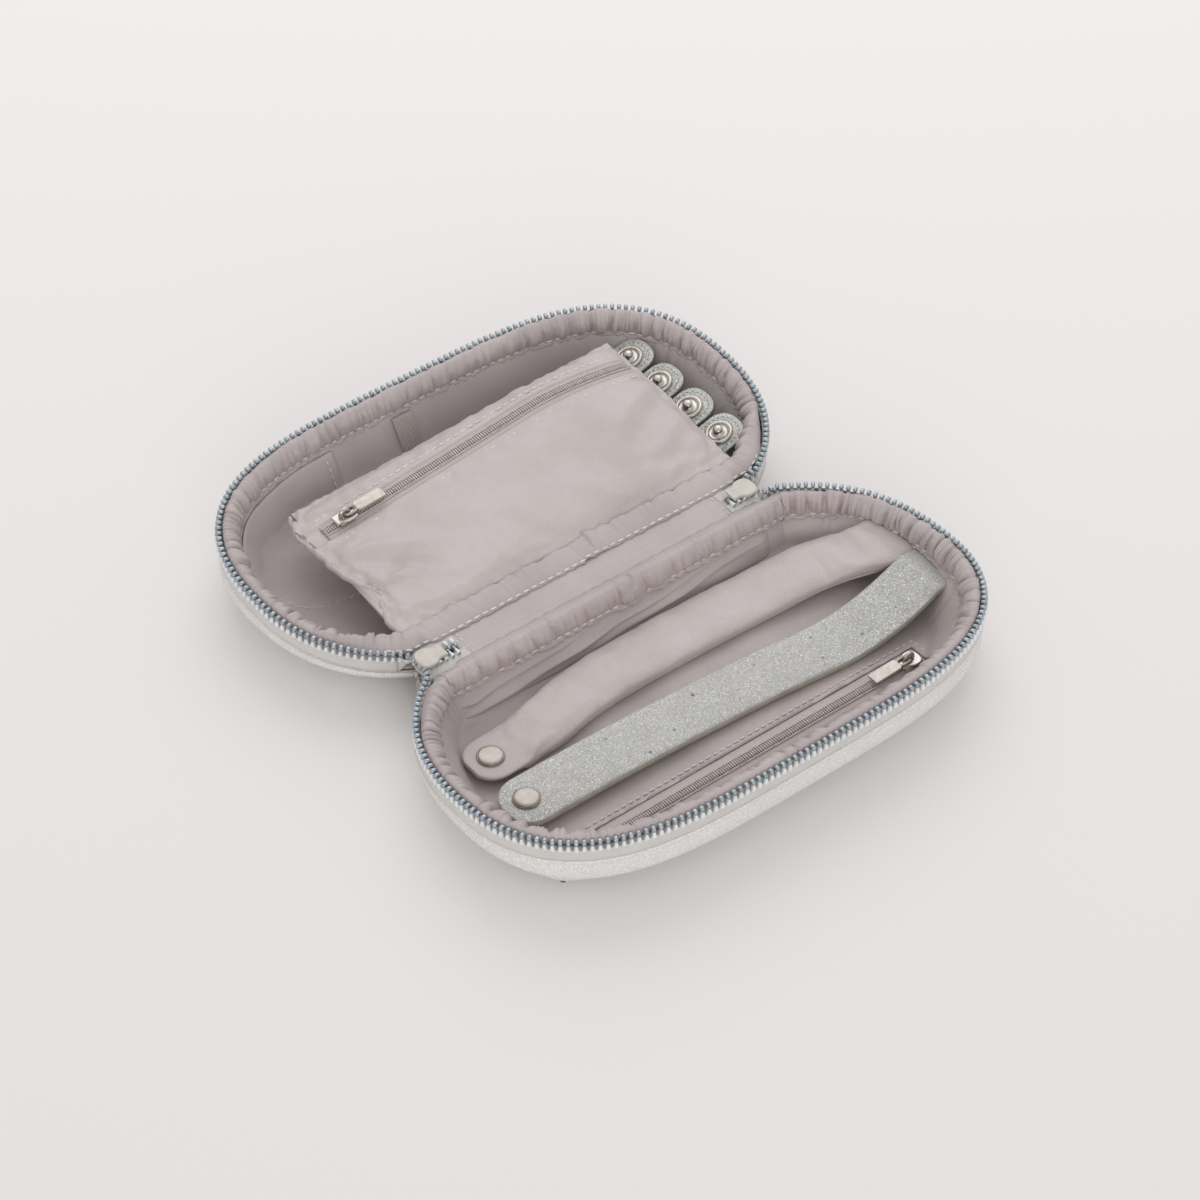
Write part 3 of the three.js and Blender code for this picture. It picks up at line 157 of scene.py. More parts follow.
class Outline:
    """Even stations round a half: x, distance s from the spine, inward normal and length along."""

    def __init__(self, count):
        angle = np.linspace(-math.pi / 2, 1.5 * math.pi, 6001)
        c, n = np.cos(angle), np.sin(angle)
        power_x = np.where(n >= 0, FAR_POWER_X, NEAR_POWER_X)
        depth = np.where(n >= 0, RIM_FAR - RIM_WIDEST, NEAR_DEPTH)
        x = HALF_LENGTH * powered(c, 2 / power_x)
        s = RIM_WIDEST + depth * powered(n, 2 / POWER_Y)
        s = np.maximum(s, SHELL_BACK)
        along = np.concatenate([[0], np.cumsum(np.hypot(np.diff(x), np.diff(s)))])
        self.total = along[-1]
        self.u = np.arange(count) * self.total / count

        def pick(u):
            u = np.mod(u, self.total)
            return np.interp(u, along, x), np.interp(u, along, s)

        self.x, self.s = pick(self.u)
        ax, a_s = pick(self.u - NORMAL_REACH)
        bx, b_s = pick(self.u + NORMAL_REACH)
        size = np.hypot(bx - ax, b_s - a_s)
        self.nx, self.ns = -(b_s - a_s) / size, (bx - ax) / size
        self.count = count
        self.spine_share = smooth(self.ns, 0.35, 0.95)
        self.corner_share = (np.abs(self.nx * self.ns) * 2) ** 3
        near = 1 - smooth(self.s, SHELL_BACK, SHELL_BACK + 4)
        rise = 1 - smooth(np.abs(self.x), SPINE_RIGHT - 12.8, SPINE_RIGHT + 0.2)
        self.shell_top = rim_z(self.s) - lerp(TAPE_BAND, SPINE_SEAM_DROP, near * rise)
        self.floor_inset = lerp(WALL_INSET_FLOOR, WALL_INSET_SPINE, self.spine_share)
        self.end_share = smooth(np.abs(self.x), 58, 92)

    def at(self, inset, z, side):
        inset = np.broadcast_to(inset, self.x.shape)
        z = np.broadcast_to(z, self.x.shape)
        x, s = self.x + self.nx * inset, self.s + self.ns * inset
        if inset.max() > DEEP_INSET:
            x, s = self.untangled(x, s)
        return columns(x, side * s, z)

    def untangled(self, x, s):
        """Points of a deep loop, put in order where the loop crosses itself at the spine's corners."""
        a = columns(x, s - MIDDLE_S)
        b = np.roll(a, -1, axis=0)
        start = math.pi / 2 + 0.004
        turn = np.sort(np.mod(np.arctan2(a[:, 1], a[:, 0]) + start, math.tau)) - start
        ray = columns(np.cos(turn), np.sin(turn))
        side_a = ray[:, :1] * a[:, 1] - ray[:, 1:] * a[:, 0]
        side_b = ray[:, :1] * b[:, 1] - ray[:, 1:] * b[:, 0]
        share = side_a / np.where(side_a == side_b, 1, side_a - side_b)
        reach = ray @ a.T + share * (ray @ (b - a).T)
        hit = (side_a * side_b <= 0) & (side_a != side_b) & (reach > 0)
        reach = np.where(hit, reach, np.inf).min(axis=1)
        return ray[:, 0] * reach, MIDDLE_S + ray[:, 1] * reach

    def open_stretch(self, left, right):
        """Stations that lie off the spine, in order from the right end round to the left one."""
        order = np.flatnonzero((self.s > RIM_WIDEST) | (self.x < left) | (self.x > right))
        cut = np.flatnonzero(np.diff(order) > 1)
        return np.roll(order, -cut[0] - 1) if len(cut) else order


class Gathers:
    """Pillows of gathered cloth round the rim, parted by creases that lie close together at the ends."""

    def __init__(self, seed, end_pitch, side_pitch, end_height, side_height):
        picks = random.Random(seed)
        places, heights, slants = [0.0], [], []
        while places[-1] < rim.total - 0.7 * end_pitch:
            end = float(np.interp(places[-1], rim.u, rim.end_share))
            heights.append(lerp(side_height, end_height, end) * picks.uniform(0.3, 1.35))
            slants.append(picks.uniform(-0.5, 0.5) * end_pitch)
            places.append(places[-1] + lerp(side_pitch, end_pitch, end) * picks.uniform(0.4, 1.6))
        places[-1] = rim.total
        self.places, self.heights = np.array(places), np.array(heights)
        self.slants = np.array(slants + slants[:1])

    def at(self, u, v):
        """Height of the cloth over its creases, for v from 0 at the seam to 1 at the top."""
        place = np.mod(u + np.interp(u, self.places, self.slants) * v, rim.total)
        k = np.clip(np.searchsorted(self.places, place, side="right") - 1, 0, len(self.heights) - 1)
        share = (place - self.places[k]) / (self.places[k + 1] - self.places[k])
        return self.heights[k] * (np.sin(math.pi * np.clip(share, 0, 1)) ** 0.6 - 0.6)


rim = Outline(640)
fine_rim = Outline(1280)


# Meshes
def grid_faces(rows, count, wrap_rows=False, wrap_count=False):
    faces = []
    for r in range(rows if wrap_rows else rows - 1):
        for i in range(count if wrap_count else count - 1):
            j, q = (i + 1) % count, (r + 1) % rows
            faces.append((r * count + i, r * count + j, q * count + j, q * count + i))
    return faces


def piece(name, points, faces, material, body=None, slot=None, replaces=(), flat=False):
    mesh = bpy.data.meshes.new(name)
    mesh.from_pydata((np.asarray(points, float) * MM).tolist(), [], [tuple(map(int, f)) for f in faces])
    editable = bmesh.new()
    editable.from_mesh(mesh)
    bmesh.ops.recalc_face_normals(editable, faces=editable.faces)
    editable.to_mesh(mesh)
    editable.free()
    if not flat:
        mesh.shade_smooth()
    mesh.materials.append(material)
    obj = bpy.data.objects.new(name, mesh)
    bpy.context.scene.collection.objects.link(obj)
    if body:
        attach(obj, body)
    if replaces:
        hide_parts(*replaces)
    return obj


def lofted(rings, wrap=False):
    """Points and faces of a body skinned over rings, each a closed loop of points."""
    rings = np.asarray(rings, float)
    rows, count = rings.shape[:2]
    points = rings.reshape(-1, 3)
    faces = grid_faces(rows, count, wrap, True)
    if not wrap:
        points = np.vstack([points, rings[0].mean(axis=0), rings[-1].mean(axis=0)])
        hub = rows * count
        for i in range(count):
            j = (i + 1) % count
            faces.append((j, i, hub))
            faces.append(((rows - 1) * count + i, (rows - 1) * count + j, hub + 1))
    return points, faces


def paint_second(obj, material, chosen):
    """Gives the polygons that chosen picks a second material."""
    obj.data.materials.append(material)
    for polygon in obj.data.polygons:
        if chosen(polygon):
            polygon.material_index = 1


def bend_with_fold(obj, half, start, end):
    """Bakes a piece's placement into its mesh; half, start and end are not used."""
    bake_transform(obj)


def joined(shapes):
    """Several (points, faces) as one."""
    points, faces, start = [], [], 0
    for pts, fcs in shapes:
        points.append(np.asarray(pts, float))
        faces.extend([tuple(i + start for i in f) for f in fcs])
        start += len(pts)
    return np.vstack(points), faces


def placed(shape, origin, along, up):
    """A shape made in local axes, put at a place with its X along and its Z up."""
    points, faces = shape
    along = np.asarray(along, float) / np.linalg.norm(along)
    across = np.cross(up, along)
    across = across / np.linalg.norm(across)
    true_up = np.cross(along, across)
    axes = np.stack([along, across, true_up])
    return np.asarray(points) @ axes + np.asarray(origin), faces


def turned(profile, segments=40):
    """A turned piece on the Z axis from a profile of radius and height, with ends on the axis."""
    profile = [(max(r, 0), z) for r, z in profile]
    inner = [p for p in profile if p[0] > 1e-6]
    points = [(r * math.cos(a), r * math.sin(a), z) for r, z in inner for a in angles(segments)]
    faces = grid_faces(len(inner), segments, False, True)
    low, high = len(points), len(points) + 1
    points += [(0, 0, profile[0][1]), (0, 0, profile[-1][1])]
    last = (len(inner) - 1) * segments
    for i in range(segments):
        j = (i + 1) % segments
        faces.append((j, i, low))
        faces.append((last + i, last + j, high))
    return np.array(points), faces


def rounded_bar(a, b, c, power=3.2, rings=7, sides=12):
    """A soft-edged block with half sizes a, b, c along X, Y and Z."""
    loops = []
    cy, cz = circle(sides)
    for t in np.linspace(-1, 1, rings):
        share = (1 - abs(t) ** power) ** (1 / power) if abs(t) < 1 else 0.35
        loops.append(columns(a * t, b * share * powered(cy, 2 / power), c * share * powered(cz, 2 / power)))
    return lofted(loops)


STITCH = rounded_bar(1.05, 0.3, 0.26, power=2.2, rings=5, sides=8)
STITCH_REACH = 0.8


def stitches(name, path, ups, body, pitch=3.0, lift=0.1, size=1.0, material=None):
    """Thread dashes along a path, with the surface's outward direction at each point or for all of them."""
    path = np.asarray(path, float)
    ups = np.broadcast_to(np.asarray(ups, float), path.shape)
    along = lengths(path)
    shapes = []
    scaled = (STITCH[0] * size, STITCH[1])
    for u in np.arange(pitch / 2, along[-1] - pitch / 3, pitch):
        way = spot(path, along, u + STITCH_REACH) - spot(path, along, u - STITCH_REACH)
        up = spot(ups, along, u)
        if np.linalg.norm(way) < 1e-6:
            continue
        shapes.append(placed(scaled, spot(path, along, u) + up / np.linalg.norm(up) * lift, way, up))
    return piece(name, *joined(shapes), material or THREAD, body, "satin")


def hills(points, scale, seed, octaves=3):
    """Smooth noise from -1 to 1 at each point, with hills about 1/scale apart."""
    offset = Vector((seed * 7.31, seed * 3.17, seed * 5.77))
    return np.array([noise.fractal(Vector(p) * scale + offset, 1.0, 2.0, octaves) for p in points])


# Materials
class Paint:
    """A node material being built: a Principled shader and short calls for what feeds it."""

    def __init__(self, name, **values):
        self.material = bpy.data.materials.new(name)
        self.material.use_nodes = True
        self.tree = self.material.node_tree
        self.shader = self.tree.nodes["Principled BSDF"]
        for key, value in values.items():
            self.shader.inputs[key.replace("_", " ")].default_value = value
        self.place = self.node("ShaderNodeTexCoord").outputs["Object"]

    def node(self, kind, inputs=None, **settings):
        made = self.tree.nodes.new(kind)
        for key, value in settings.items():
            setattr(made, key, value)
        for key, value in (inputs or {}).items():
            if isinstance(value, bpy.types.NodeSocket):
                self.tree.links.new(value, made.inputs[key])
            else:
                made.inputs[key].default_value = value
        return made

    def feed(self, socket, value):
        self.tree.links.new(value, self.shader.inputs[socket])

    def noise(self, scale, detail=3, rough=0.5):
        found = self.node("ShaderNodeTexNoise", {
            "Vector": self.place, "Scale": scale, "Detail": detail, "Roughness": rough,
        })
        return found.outputs["Fac"]

    def wave(self, period, direction="DIAGONAL", distortion=0.0):
        found = self.node("ShaderNodeTexWave", {
            "Vector": self.place,
            "Scale": 2 * math.pi / 20 / (period * MM),
            "Distortion": distortion,
        }, bands_direction=direction)
        return found.outputs["Fac"]

    def ramp(self, value, stops):
        found = self.node("ShaderNodeValToRGB", {"Fac": value})
        marks = found.color_ramp.elements
        while len(marks) < len(stops):
            marks.new(0.5)
        for mark, (position, code) in zip(marks, stops):
            mark.position = position
            mark.color = rgb(code)
        return found.outputs["Color"]

    def levels(self, value, low, high, to_low, to_high):
        return self.node("ShaderNodeMapRange", {
            "Value": value, "From Min": low, "From Max": high, "To Min": to_low, "To Max": to_high,
        }).outputs["Result"]

    def mix(self, share, a, b):
        found = self.node("ShaderNodeMix", data_type="RGBA")
        for key, value in ((0, share), (6, a), (7, b)):
            if isinstance(value, bpy.types.NodeSocket):
                self.tree.links.new(value, found.inputs[key])
            else:
                found.inputs[key].default_value = value
        return found.outputs[2]

    def math(self, operation, a, b):
        return self.node("ShaderNodeMath", {0: a, 1: b}, operation=operation).outputs["Value"]

    def bump(self, height, strength, distance, normal=None):
        inputs = {"Height": height, "Strength": strength, "Distance": distance * MM}
        if normal:
            inputs["Normal"] = normal
        return self.node("ShaderNodeBump", inputs).outputs["Normal"]


SATIN_THREAD = "8A7E80"


def satin(name, light, shade, crumple):
    p = Paint(name, Roughness=0.46, Sheen_Weight=0.2, Sheen_Roughness=0.4, Specular_IOR_Level=0.7)
    tone = p.ramp(p.noise(38, 3), [(0.3, shade), (0.7, light)])
    thread = p.wave(0.42, distortion=0.6)
    fibre = p.levels(p.noise(1500, 2, 0.6), 0.35, 0.65, 0, 0.16)
    weave = p.mix(fibre, tone, rgb(SATIN_THREAD))
    p.feed("Base Color", p.mix(p.levels(thread, 0, 1, 0, 0.06), weave, rgb(SATIN_THREAD)))
    p.feed("Roughness", p.levels(p.noise(300, 2), 0.3, 0.7, 0.42, 0.54))
    soft = p.bump(p.noise(120, 4, 0.55), crumple, 0.9)
    p.feed("Normal", p.bump(thread, 0.12, 0.06, soft))
    return p.material


def glitter(name, base, dark, bright, tilt, grain=0.5, metal=0.3):
    p = Paint(name, Roughness=0.38, Metallic=metal, Specular_IOR_Level=0.5)
    flakes = p.node("ShaderNodeTexVoronoi", {"Vector": p.place, "Scale": 1 / (grain * MM)})
    shares = p.node("ShaderNodeSeparateColor", {"Color": flakes.outputs["Color"]})
    spread = p.ramp(shares.outputs["Red"], [(0.0, dark), (0.35, base), (0.8, base), (1.0, bright)])
    p.feed("Base Color", p.mix(p.levels(p.noise(70, 3), 0.3, 0.7, 0.0, 0.25), spread, rgb(dark)))
    p.feed("Roughness", p.levels(shares.outputs["Green"], 0, 1, 0.25, 0.6))
    centred = p.node("ShaderNodeVectorMath", {
        0: flakes.outputs["Color"], 1: (0.5, 0.5, 0.5),
    }, operation="SUBTRACT")
    scaled = p.node("ShaderNodeVectorMath", {0: centred.outputs[0], "Scale": tilt}, operation="SCALE")
    grainy = p.bump(p.noise(900, 2), 0.25, 0.12)
    tilted = p.node("ShaderNodeVectorMath", {0: grainy, 1: scaled.outputs[0]}, operation="ADD")
    p.feed("Normal", p.node("ShaderNodeVectorMath", {0: tilted.outputs[0]}, operation="NORMALIZE").outputs[0])
    return p.material


def twill(name, light, shade, period=0.7):
    p = Paint(name, Roughness=0.85, Sheen_Weight=0.2)
    rib = p.wave(period)
    cross = p.wave(period * 0.55, "X")
    weave = p.math("MULTIPLY", rib, cross)
    p.feed("Base Color", p.mix(p.levels(p.noise(120, 3), 0.3, 0.7, 0, 0.5), rgb(light), rgb(shade)))
    p.feed("Normal", p.bump(weave, 0.5, 0.16))
    p.feed("Roughness", p.levels(rib, 0, 1, 0.75, 0.92))
    return p.material


def metal(name, light, shade, rough, scratch=0.06, metallic=1.0):
    p = Paint(name, Metallic=metallic, Roughness=rough)
    p.feed("Base Color", p.ramp(p.noise(260, 3), [(0.25, shade), (0.7, light)]))
    p.feed("Roughness", p.levels(p.noise(900, 4, 0.6), 0.3, 0.7, rough * 0.75, rough * 1.3))
    p.feed("Normal", p.bump(p.noise(1300, 3), scratch, 0.05))
    return p.material


def nylon(name, light, shade):
    p = Paint(name, Roughness=0.42, Coat_Weight=0.15)
    p.feed("Base Color", p.ramp(p.noise(500, 2), [(0.3, shade), (0.7, light)]))
    p.feed("Normal", p.bump(p.wave(0.3, "X"), 0.15, 0.05))
    return p.material


def painted(name, light, shade):
    p = Paint(name, Roughness=0.45, Coat_Weight=0.1)
    p.feed("Base Color", p.ramp(p.noise(220, 3), [(0.3, shade), (0.7, light)]))
    p.feed("Normal", p.bump(p.noise(700, 3), 0.12, 0.1))
    p.feed("Roughness", p.levels(p.noise(400, 2), 0.3, 0.7, 0.38, 0.55))
    return p.material


def ribbed(name, light, shade):
    p = Paint(name, Roughness=0.8, Sheen_Weight=0.15)
    rib = p.wave(0.95, "X")
    # The grooves between the ribs take the darker colour: painted shade.
    p.feed("Base Color", p.ramp(rib, [(0.15, shade), (0.6, light)]))
    p.feed("Normal", p.bump(rib, 0.8, 0.3))
    p.feed("Roughness", p.levels(p.noise(500, 2), 0.3, 0.7, 0.7, 0.9))
    return p.material


SATIN = satin("lining_satin", "C4B9B7", "B6AAA9", crumple=0.13)
# The pouch and the ring roll take a paler copy of the lining satin: painted light on pieces that lie open to
# the lamps.
SATIN_PAINTED_LIGHT = satin("pouch_satin", "CEC4C2", "C2B7B5", crumple=0.09)
SHELL_SKIN = glitter("shell_glitter_leather", "E2E0DD", "CFCDCA", "FFFFFF", 0.42, grain=0.36, metal=0.05)
STRAP_SKIN = glitter("strap_glitter_leather", "BEBDB9", "9C9B97", "FFFFFF", 0.5, grain=0.27, metal=0.12)
EDGE_PAINT = painted("edge_paint", "BDBBAE", "A9A79A")
# Dark colour for the necklace tabs' edges: painted shade of their thickness.
TAB_EDGE_SHADE = painted("tab_edge_painted_shade", "77786F", "616259")
TAPE = twill("zip_tape_twill", "D3D0CC", "C6C2BE")
# Darker twill for the tape's top edge under the teeth: painted shade between the teeth's legs.
TAPE_EDGE_SHADE = twill("zip_tape_edge_painted_shade", "8E8D8D", "7C7B7C")
STEEL = metal("tooth_steel", "BAC2C8", "959FA8", 0.4, metallic=0.85)
# Paler, less metallic copy of the tooth steel for the legs: painted light.
STEEL_LEGS_PAINTED_LIGHT = metal("tooth_steel_legs_painted_light", "F0F1F1", "E2E4E5", 0.38, metallic=0.35)
CREAM_METAL = metal("slider_plate_metal", "CBC5BF", "BDB6AE", 0.45, 0.03, metallic=0.25)
NICKEL = metal("nickel", "CFC9C2", "B9B2AA", 0.3)
PULL_METAL = metal("pull_nickel", "C4BDB6", "B5ADA5", 0.42, 0.04, metallic=0.8)
CAP_METAL = metal("cap_nickel", "B0AAA3", "9F9993", 0.32, 0.05, metallic=0.78)
# Darker copy of the cap's nickel for the snap rims: painted shade.
SNAP_RIM_SHADE = metal("snap_rim", "A59A90", "857A70", 0.3)
COIL = nylon("coil_nylon", "CFC3BF", "B9ADAA")
COIL_TAPE = twill("coil_tape", "CDC2BF", "BFB4B1", 0.45)
THREAD = painted("thread", "E9E2DF", "DCD4D1")
# Dark colour for the necklace tabs' stitch holes: painted shade in the holes.
STITCH_HOLE_SHADE = painted("stitch_hole_painted_shade", "8B8380", "77706D")
PIN_SHADE = painted("pin_hole", "8C8B86", "7B7A75")
DART_SHADE = painted("dart_eyelet", "6E6B68", "57534F")
BOARD = painted("stiffener_board", "D9D4CC", "CBC5BC")
ELASTIC = ribbed("elastic_rib", "C6BAB9", "A89C9A")


# Shells: rounded foot, darted corners and a turned edge under the tape
# Share of the wall's height and inset of its points, and inset and drop of its turned edge
SHELL_PIPING = [(0.1, 0), (0.35, 0), (0.6, 0.05), (0.72, 0.35), (0.78, 0.3), (0.84, -0.05), (0.9, -0.2)]
SHELL_EDGE = [(0.0, 0.35), (0.25, 0), (1.1, 0), (1.4, 0.5)]


def shell(half):
    side = SIDES[half]
    far = np.where(rim.s > RIM_WIDEST, 1, 0.45)
    foot = SHELL_FOOT_INSET - far * (CORNER_FILL * rim.corner_share + DART_POINT * rim.corner_share ** 9)
    foot = lerp(foot, SPINE_FOOT_INSET, rim.spine_share)
    rows = [rim.at(foot + inset, 0, side) for inset in (7, 4, 2, 1)]
    dart = np.exp(-((rim.corner_share - 1) / 0.012) ** 2)
    for t in (0, 0.012, 0.04, 0.1, 0.2, 0.32, 0.46, 0.6, 0.74, 0.88, 0.97):
        edge = 0.6 * max(0, 0.1 - t) / 0.1
        inset = foot * (1 - t) ** FOOT_SLANT + edge + 0.35 * dart * math.sin(math.pi * t)
        rows.append(rim.at(inset, FOOT_ROUND * t, side))
    top = rim.shell_top
    for t, inset in SHELL_PIPING:
        rows.append(rim.at(inset + 0.3 * dart, lerp(FOOT_ROUND, top, t), side))
    rows += [rim.at(inset, top - drop, side) for inset, drop in SHELL_EDGE]
    for t in (1, 0.7, 0.4, 0.2, FOOT_TOP):
        rows.append(rim.at(foot * (1 - t) ** FOOT_SLANT + SHELL_THICK, FOOT_ROUND * t, side))
    rows += [rim.at(foot + inset, FOOT_ROUND * FOOT_TOP, side) for inset in (3, 5, 8)]
    points, faces = lofted(rows)
    return piece(f"{half}_shell_leather", points, faces, SHELL_SKIN, BODY[half],
                 "shell_leather", [f"{half}_shell"])


for half in SIDES:
    shell(half)


# Linings: slanting satin walls with soft folds, and a floor
FOOT_EASE = {"base": (5, 3), "lid": (9, 60)}
WALL_SEAM_U = {"base": float(rim.u[np.argmin(np.hypot(rim.x - 87, rim.s - 22))]), "lid": -99.0}


def wall_inset(z):
    t = np.clip((rim_z(rim.s) - STITCH_DROP - z) / (rim_z(rim.s) - STITCH_DROP - FLOOR_Z), 0, 1)
    return lerp(WALL_INSET_TOP, rim.floor_inset, t)


def lining(half):
    side = SIDES[half]
    gathers = Gathers(11 if half == "base" else 12, 8.5, 26, 1.5, 0.5)
    stitch = rim_z(rim.s) - STITCH_DROP
    inner = [rim.at(1.3, rim.shell_top + 0.9, side), rim.at(WALL_INSET_TOP - 0.2, stitch + 0.1, side)]
    steps = 14
    seam = np.exp(-((rim.u - WALL_SEAM_U[half]) / 0.8) ** 2)
    puller_room = np.exp(-(((rim.x - 92) / 6) ** 2 + ((rim.s - 90) / 7) ** 2))
    for k in range(1, steps + 1):
        t = k / steps
        z = lerp(stitch, FLOOR_Z + 0.1, t ** 0.92)
        fold = gathers.at(rim.u, -t * 1.6) * math.exp(-t * 2.0) * min(1, t * 5)
        belly = math.sin(math.pi * t)
        inset = wall_inset(z) + 0.35 * belly + fold - 0.6 * seam * belly ** 0.3
        if half == "base":
            inset = inset - 1.4 * belly * puller_room
        inner.append(rim.at(inset, z, side))
    foot = rim.floor_inset
    for extra, z in ((0.9, 0.02), (2.0, 0), (3.4, 0)):
        inner.append(rim.at(foot + extra, FLOOR_Z + z, side))
    middle = np.array([0, side * MIDDLE_S, FLOOR_Z])
    last = inner[-1]
    for share in np.linspace(0.96, 0.07, 16):
        inner.append(middle + (last - middle) * share)
    inner = np.array(inner)
    reach, passes = FOOT_EASE[half]
    share = passes and (1 if half == "base" else smooth(-rim.x, -40, 20)[:, None])
    eased = inner.copy()
    for _ in range(passes):
        mean = (eased[:-2] + 2 * eased[1:-1] + eased[2:]) / 4
        eased[steps - reach:steps + reach] = mean[steps - reach - 1:steps + reach - 1]
    inner = lerp(inner, eased, share)
    bumps = hills(inner.reshape(-1, 3), 0.045, 3 + side).reshape(inner.shape[:2])
    fade = np.clip((np.arange(len(inner)) - 2) / 3, 0, 1)[:, None]
    inner[:, :, 2] += np.maximum(bumps, -0.4) * 0.35 * fade
    outer = inner.copy()
    outer[:, :, 2] -= LINING_THICK
    points, faces = lofted(np.vstack([inner[::-1], outer]))
    return piece(f"{half}_lining_satin", points, faces, SATIN, None, "satin")


def cut_box(obj, low, high):
    """Cuts a box-shaped window out of a piece."""
    corners = [(x, y, z) for z in (low[2], high[2]) for y in (low[1], high[1]) for x in (low[0], high[0])]
    faces = [(0, 2, 3, 1), (4, 5, 7, 6), (0, 1, 5, 4), (2, 6, 7, 3), (0, 4, 6, 2), (1, 3, 7, 5)]
    tool = piece("window_tool", corners, faces, BOARD, flat=True)
    cut = obj.modifiers.new("window", "BOOLEAN")
    cut.object, cut.operation, cut.solver = tool, "DIFFERENCE", "EXACT"
    bake(obj)
    bpy.data.objects.remove(tool)


def bake(obj):
    """Turns a piece's modifiers into its mesh."""
    graph = bpy.context.evaluated_depsgraph_get()
    graph.update()
    final = bpy.data.meshes.new_from_object(obj.evaluated_get(graph))
    obj.modifiers.clear()
    obj.data = final


tape_low, tape_high = node_box("floor_pocket_tape")
for half in SIDES:
    cloth = lining(half)
    if half == "base":
        cut_box(cloth, (tape_low[0] - 0.3, tape_low[1] - 0.3, 0), (tape_high[0] + 0.3, tape_high[1] + 0.3, 9))
    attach(cloth, BODY[half])
    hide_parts(f"{half}_lining")


# Gathered band round the rim. Each point of its loop: inset, height from the rim, weight of the gathers
BAND_LOOP = [
    (2.5, -8.3, 0), (2.2, -6.0, 0), (2.0, -3.2, 0.1), (2.0, -1.5, 0.2), (2.5, -0.9, 0.45),
    (3.4, -0.6, 0.6), (4.3, -0.85, 0.75), (5.2, -1.4, 0.9), (5.95, -2.3, 1), (6.5, -3.4, 1.1),
    (6.85, -4.6, 1.1), (7.0, -5.8, 1.1), (6.9, -6.9, 1.0), (6.6, -7.8, 0.6), (6.35, -8.35, 0),
    (6.75, -8.7, 0.2), (7.35, -9.05, 0.4), (7.2, -9.55, 0.3), (6.2, -9.3, 0), (4.5, -8.6, 0),
]
# Along the spine the loop's first points are a hem at this inset and height
SPINE_HEM = [(2.6, 20.95), (1.1, 21.35), (0.9, 21.8), (1.9, 21.95), (2.7, 22.5)]
# Points of the loop that the stitches follow
SEAM_STITCH = 14
SPINE_STITCH = 3
LEAN = {"lid": 4.2, "base": 0.6}
SLIDER_ROOM = 2.8
OVERLAP_X = {"lid": (-1.5, 5.5), "base": (-1.0, 5.5)}


def overlap(half, v):
    """Step where one end of the band laps over the other, on the spine side."""
    low, high = OVERLAP_X[half]
    past = fine_rim.x - lerp(low, high, v)
    return np.where(past > 0, 1.5 * np.exp(-np.maximum(past, 0) / 12), 0) * fine_rim.spine_share


def band_loop(half):
    """The band's loops as an array of loop place, station and coordinate."""
    side = SIDES[half]
    seed = 5 if half == "base" else 6
    gathers = Gathers(seed, 5.6, 8, 2.9, 1.7)
    crinkles = Gathers(seed + 20, 2.4, 3.4, 1.2, 0.8)
    share = fine_rim.spine_share
    top = rim_z(fine_rim.s)
    reach = np.abs(fine_rim.x)
    beside_slider = (fine_rim.s < 24) * smooth(reach, 63, 68) * (1 - smooth(reach, 79, 83))
    loops = []
    for k, (inset, drop, weight) in enumerate(BAND_LOOP):
        height = np.clip((drop + 8.6) / 7.9, 0, 1)
        away = np.array([inset - 4.6, (drop + 5.0) / 1.5])
        away /= np.linalg.norm(away)
        lift = (gathers.at(fine_rim.u, height) + crinkles.at(fine_rim.u, height)) * weight
        lift = lift + overlap(half, height) * min(1, weight * 2.5)
        moved = inset + 1.8 * share + LEAN[half] * share * height ** 1.2 + away[0] * lift
        z = top + drop + away[1] * lift * 0.8
        if k < len(SPINE_HEM):
            hem_inset, hem_z = SPINE_HEM[k]
            ruffle = 0.25 * np.sin(fine_rim.u * 0.9 + np.sin(fine_rim.u * 0.31) * 2) * (k in (1, 2))
            moved = lerp(moved, hem_inset + ruffle + 0.5 * overlap(half, 0.1), share)
            z = lerp(z, hem_z + 0.3 * overlap(half, 0.1), share)
        if SEAM_STITCH < k < SEAM_STITCH + 4:
            moved = moved + 0.4 * np.sin(fine_rim.u * 0.95 + np.sin(fine_rim.u * 0.27) * 3)
        limit = np.maximum(lerp(1.95, 0.5, share), SLIDER_ROOM * beside_slider)
        loops.append(fine_rim.at(np.maximum(moved, limit), z, side))
    return np.array(loops)


def rim_band(half):
    side = SIDES[half]
    loops = band_loop(half)
    soft = hills(loops.reshape(-1, 3), 0.17, 9 + side).reshape(loops.shape[:2])
    weight = np.array([w for _, _, w in BAND_LOOP])[:, None]
    push = soft * 0.6 * weight
    loops[:, :, 0] += fine_rim.nx * push
    loops[:, :, 1] += side * fine_rim.ns * push
    points, faces = lofted(loops, wrap=True)
    band = piece(f"{half}_rim_band_satin", points, faces, SATIN, BODY[half], "satin", [f"{half}_rim_band"])
    inward = columns(fine_rim.nx, side * fine_rim.ns, 0.5)
    seam = loops[SEAM_STITCH] + inward * 0.35
    seam, inward = np.vstack([seam, seam[:1]]), np.vstack([inward, inward[:1]])
    stitches(f"{half}_rim_band_stitches", seam, inward, BODY[half], pitch=3.5, size=1.25)
    if half == "base":
        return
    beside = np.flatnonzero(fine_rim.spine_share > 0.8)
    order = beside[np.argsort(fine_rim.x[beside])]
    outward = np.array([0, -side * 0.5, 1.0])
    path = loops[SPINE_STITCH][order] + outward * 0.3
    stitches(f"{half}_rim_hem_stitches", path, outward, BODY[half], pitch=3.5, size=1.25)


for half in SIDES:
    rim_band(half)

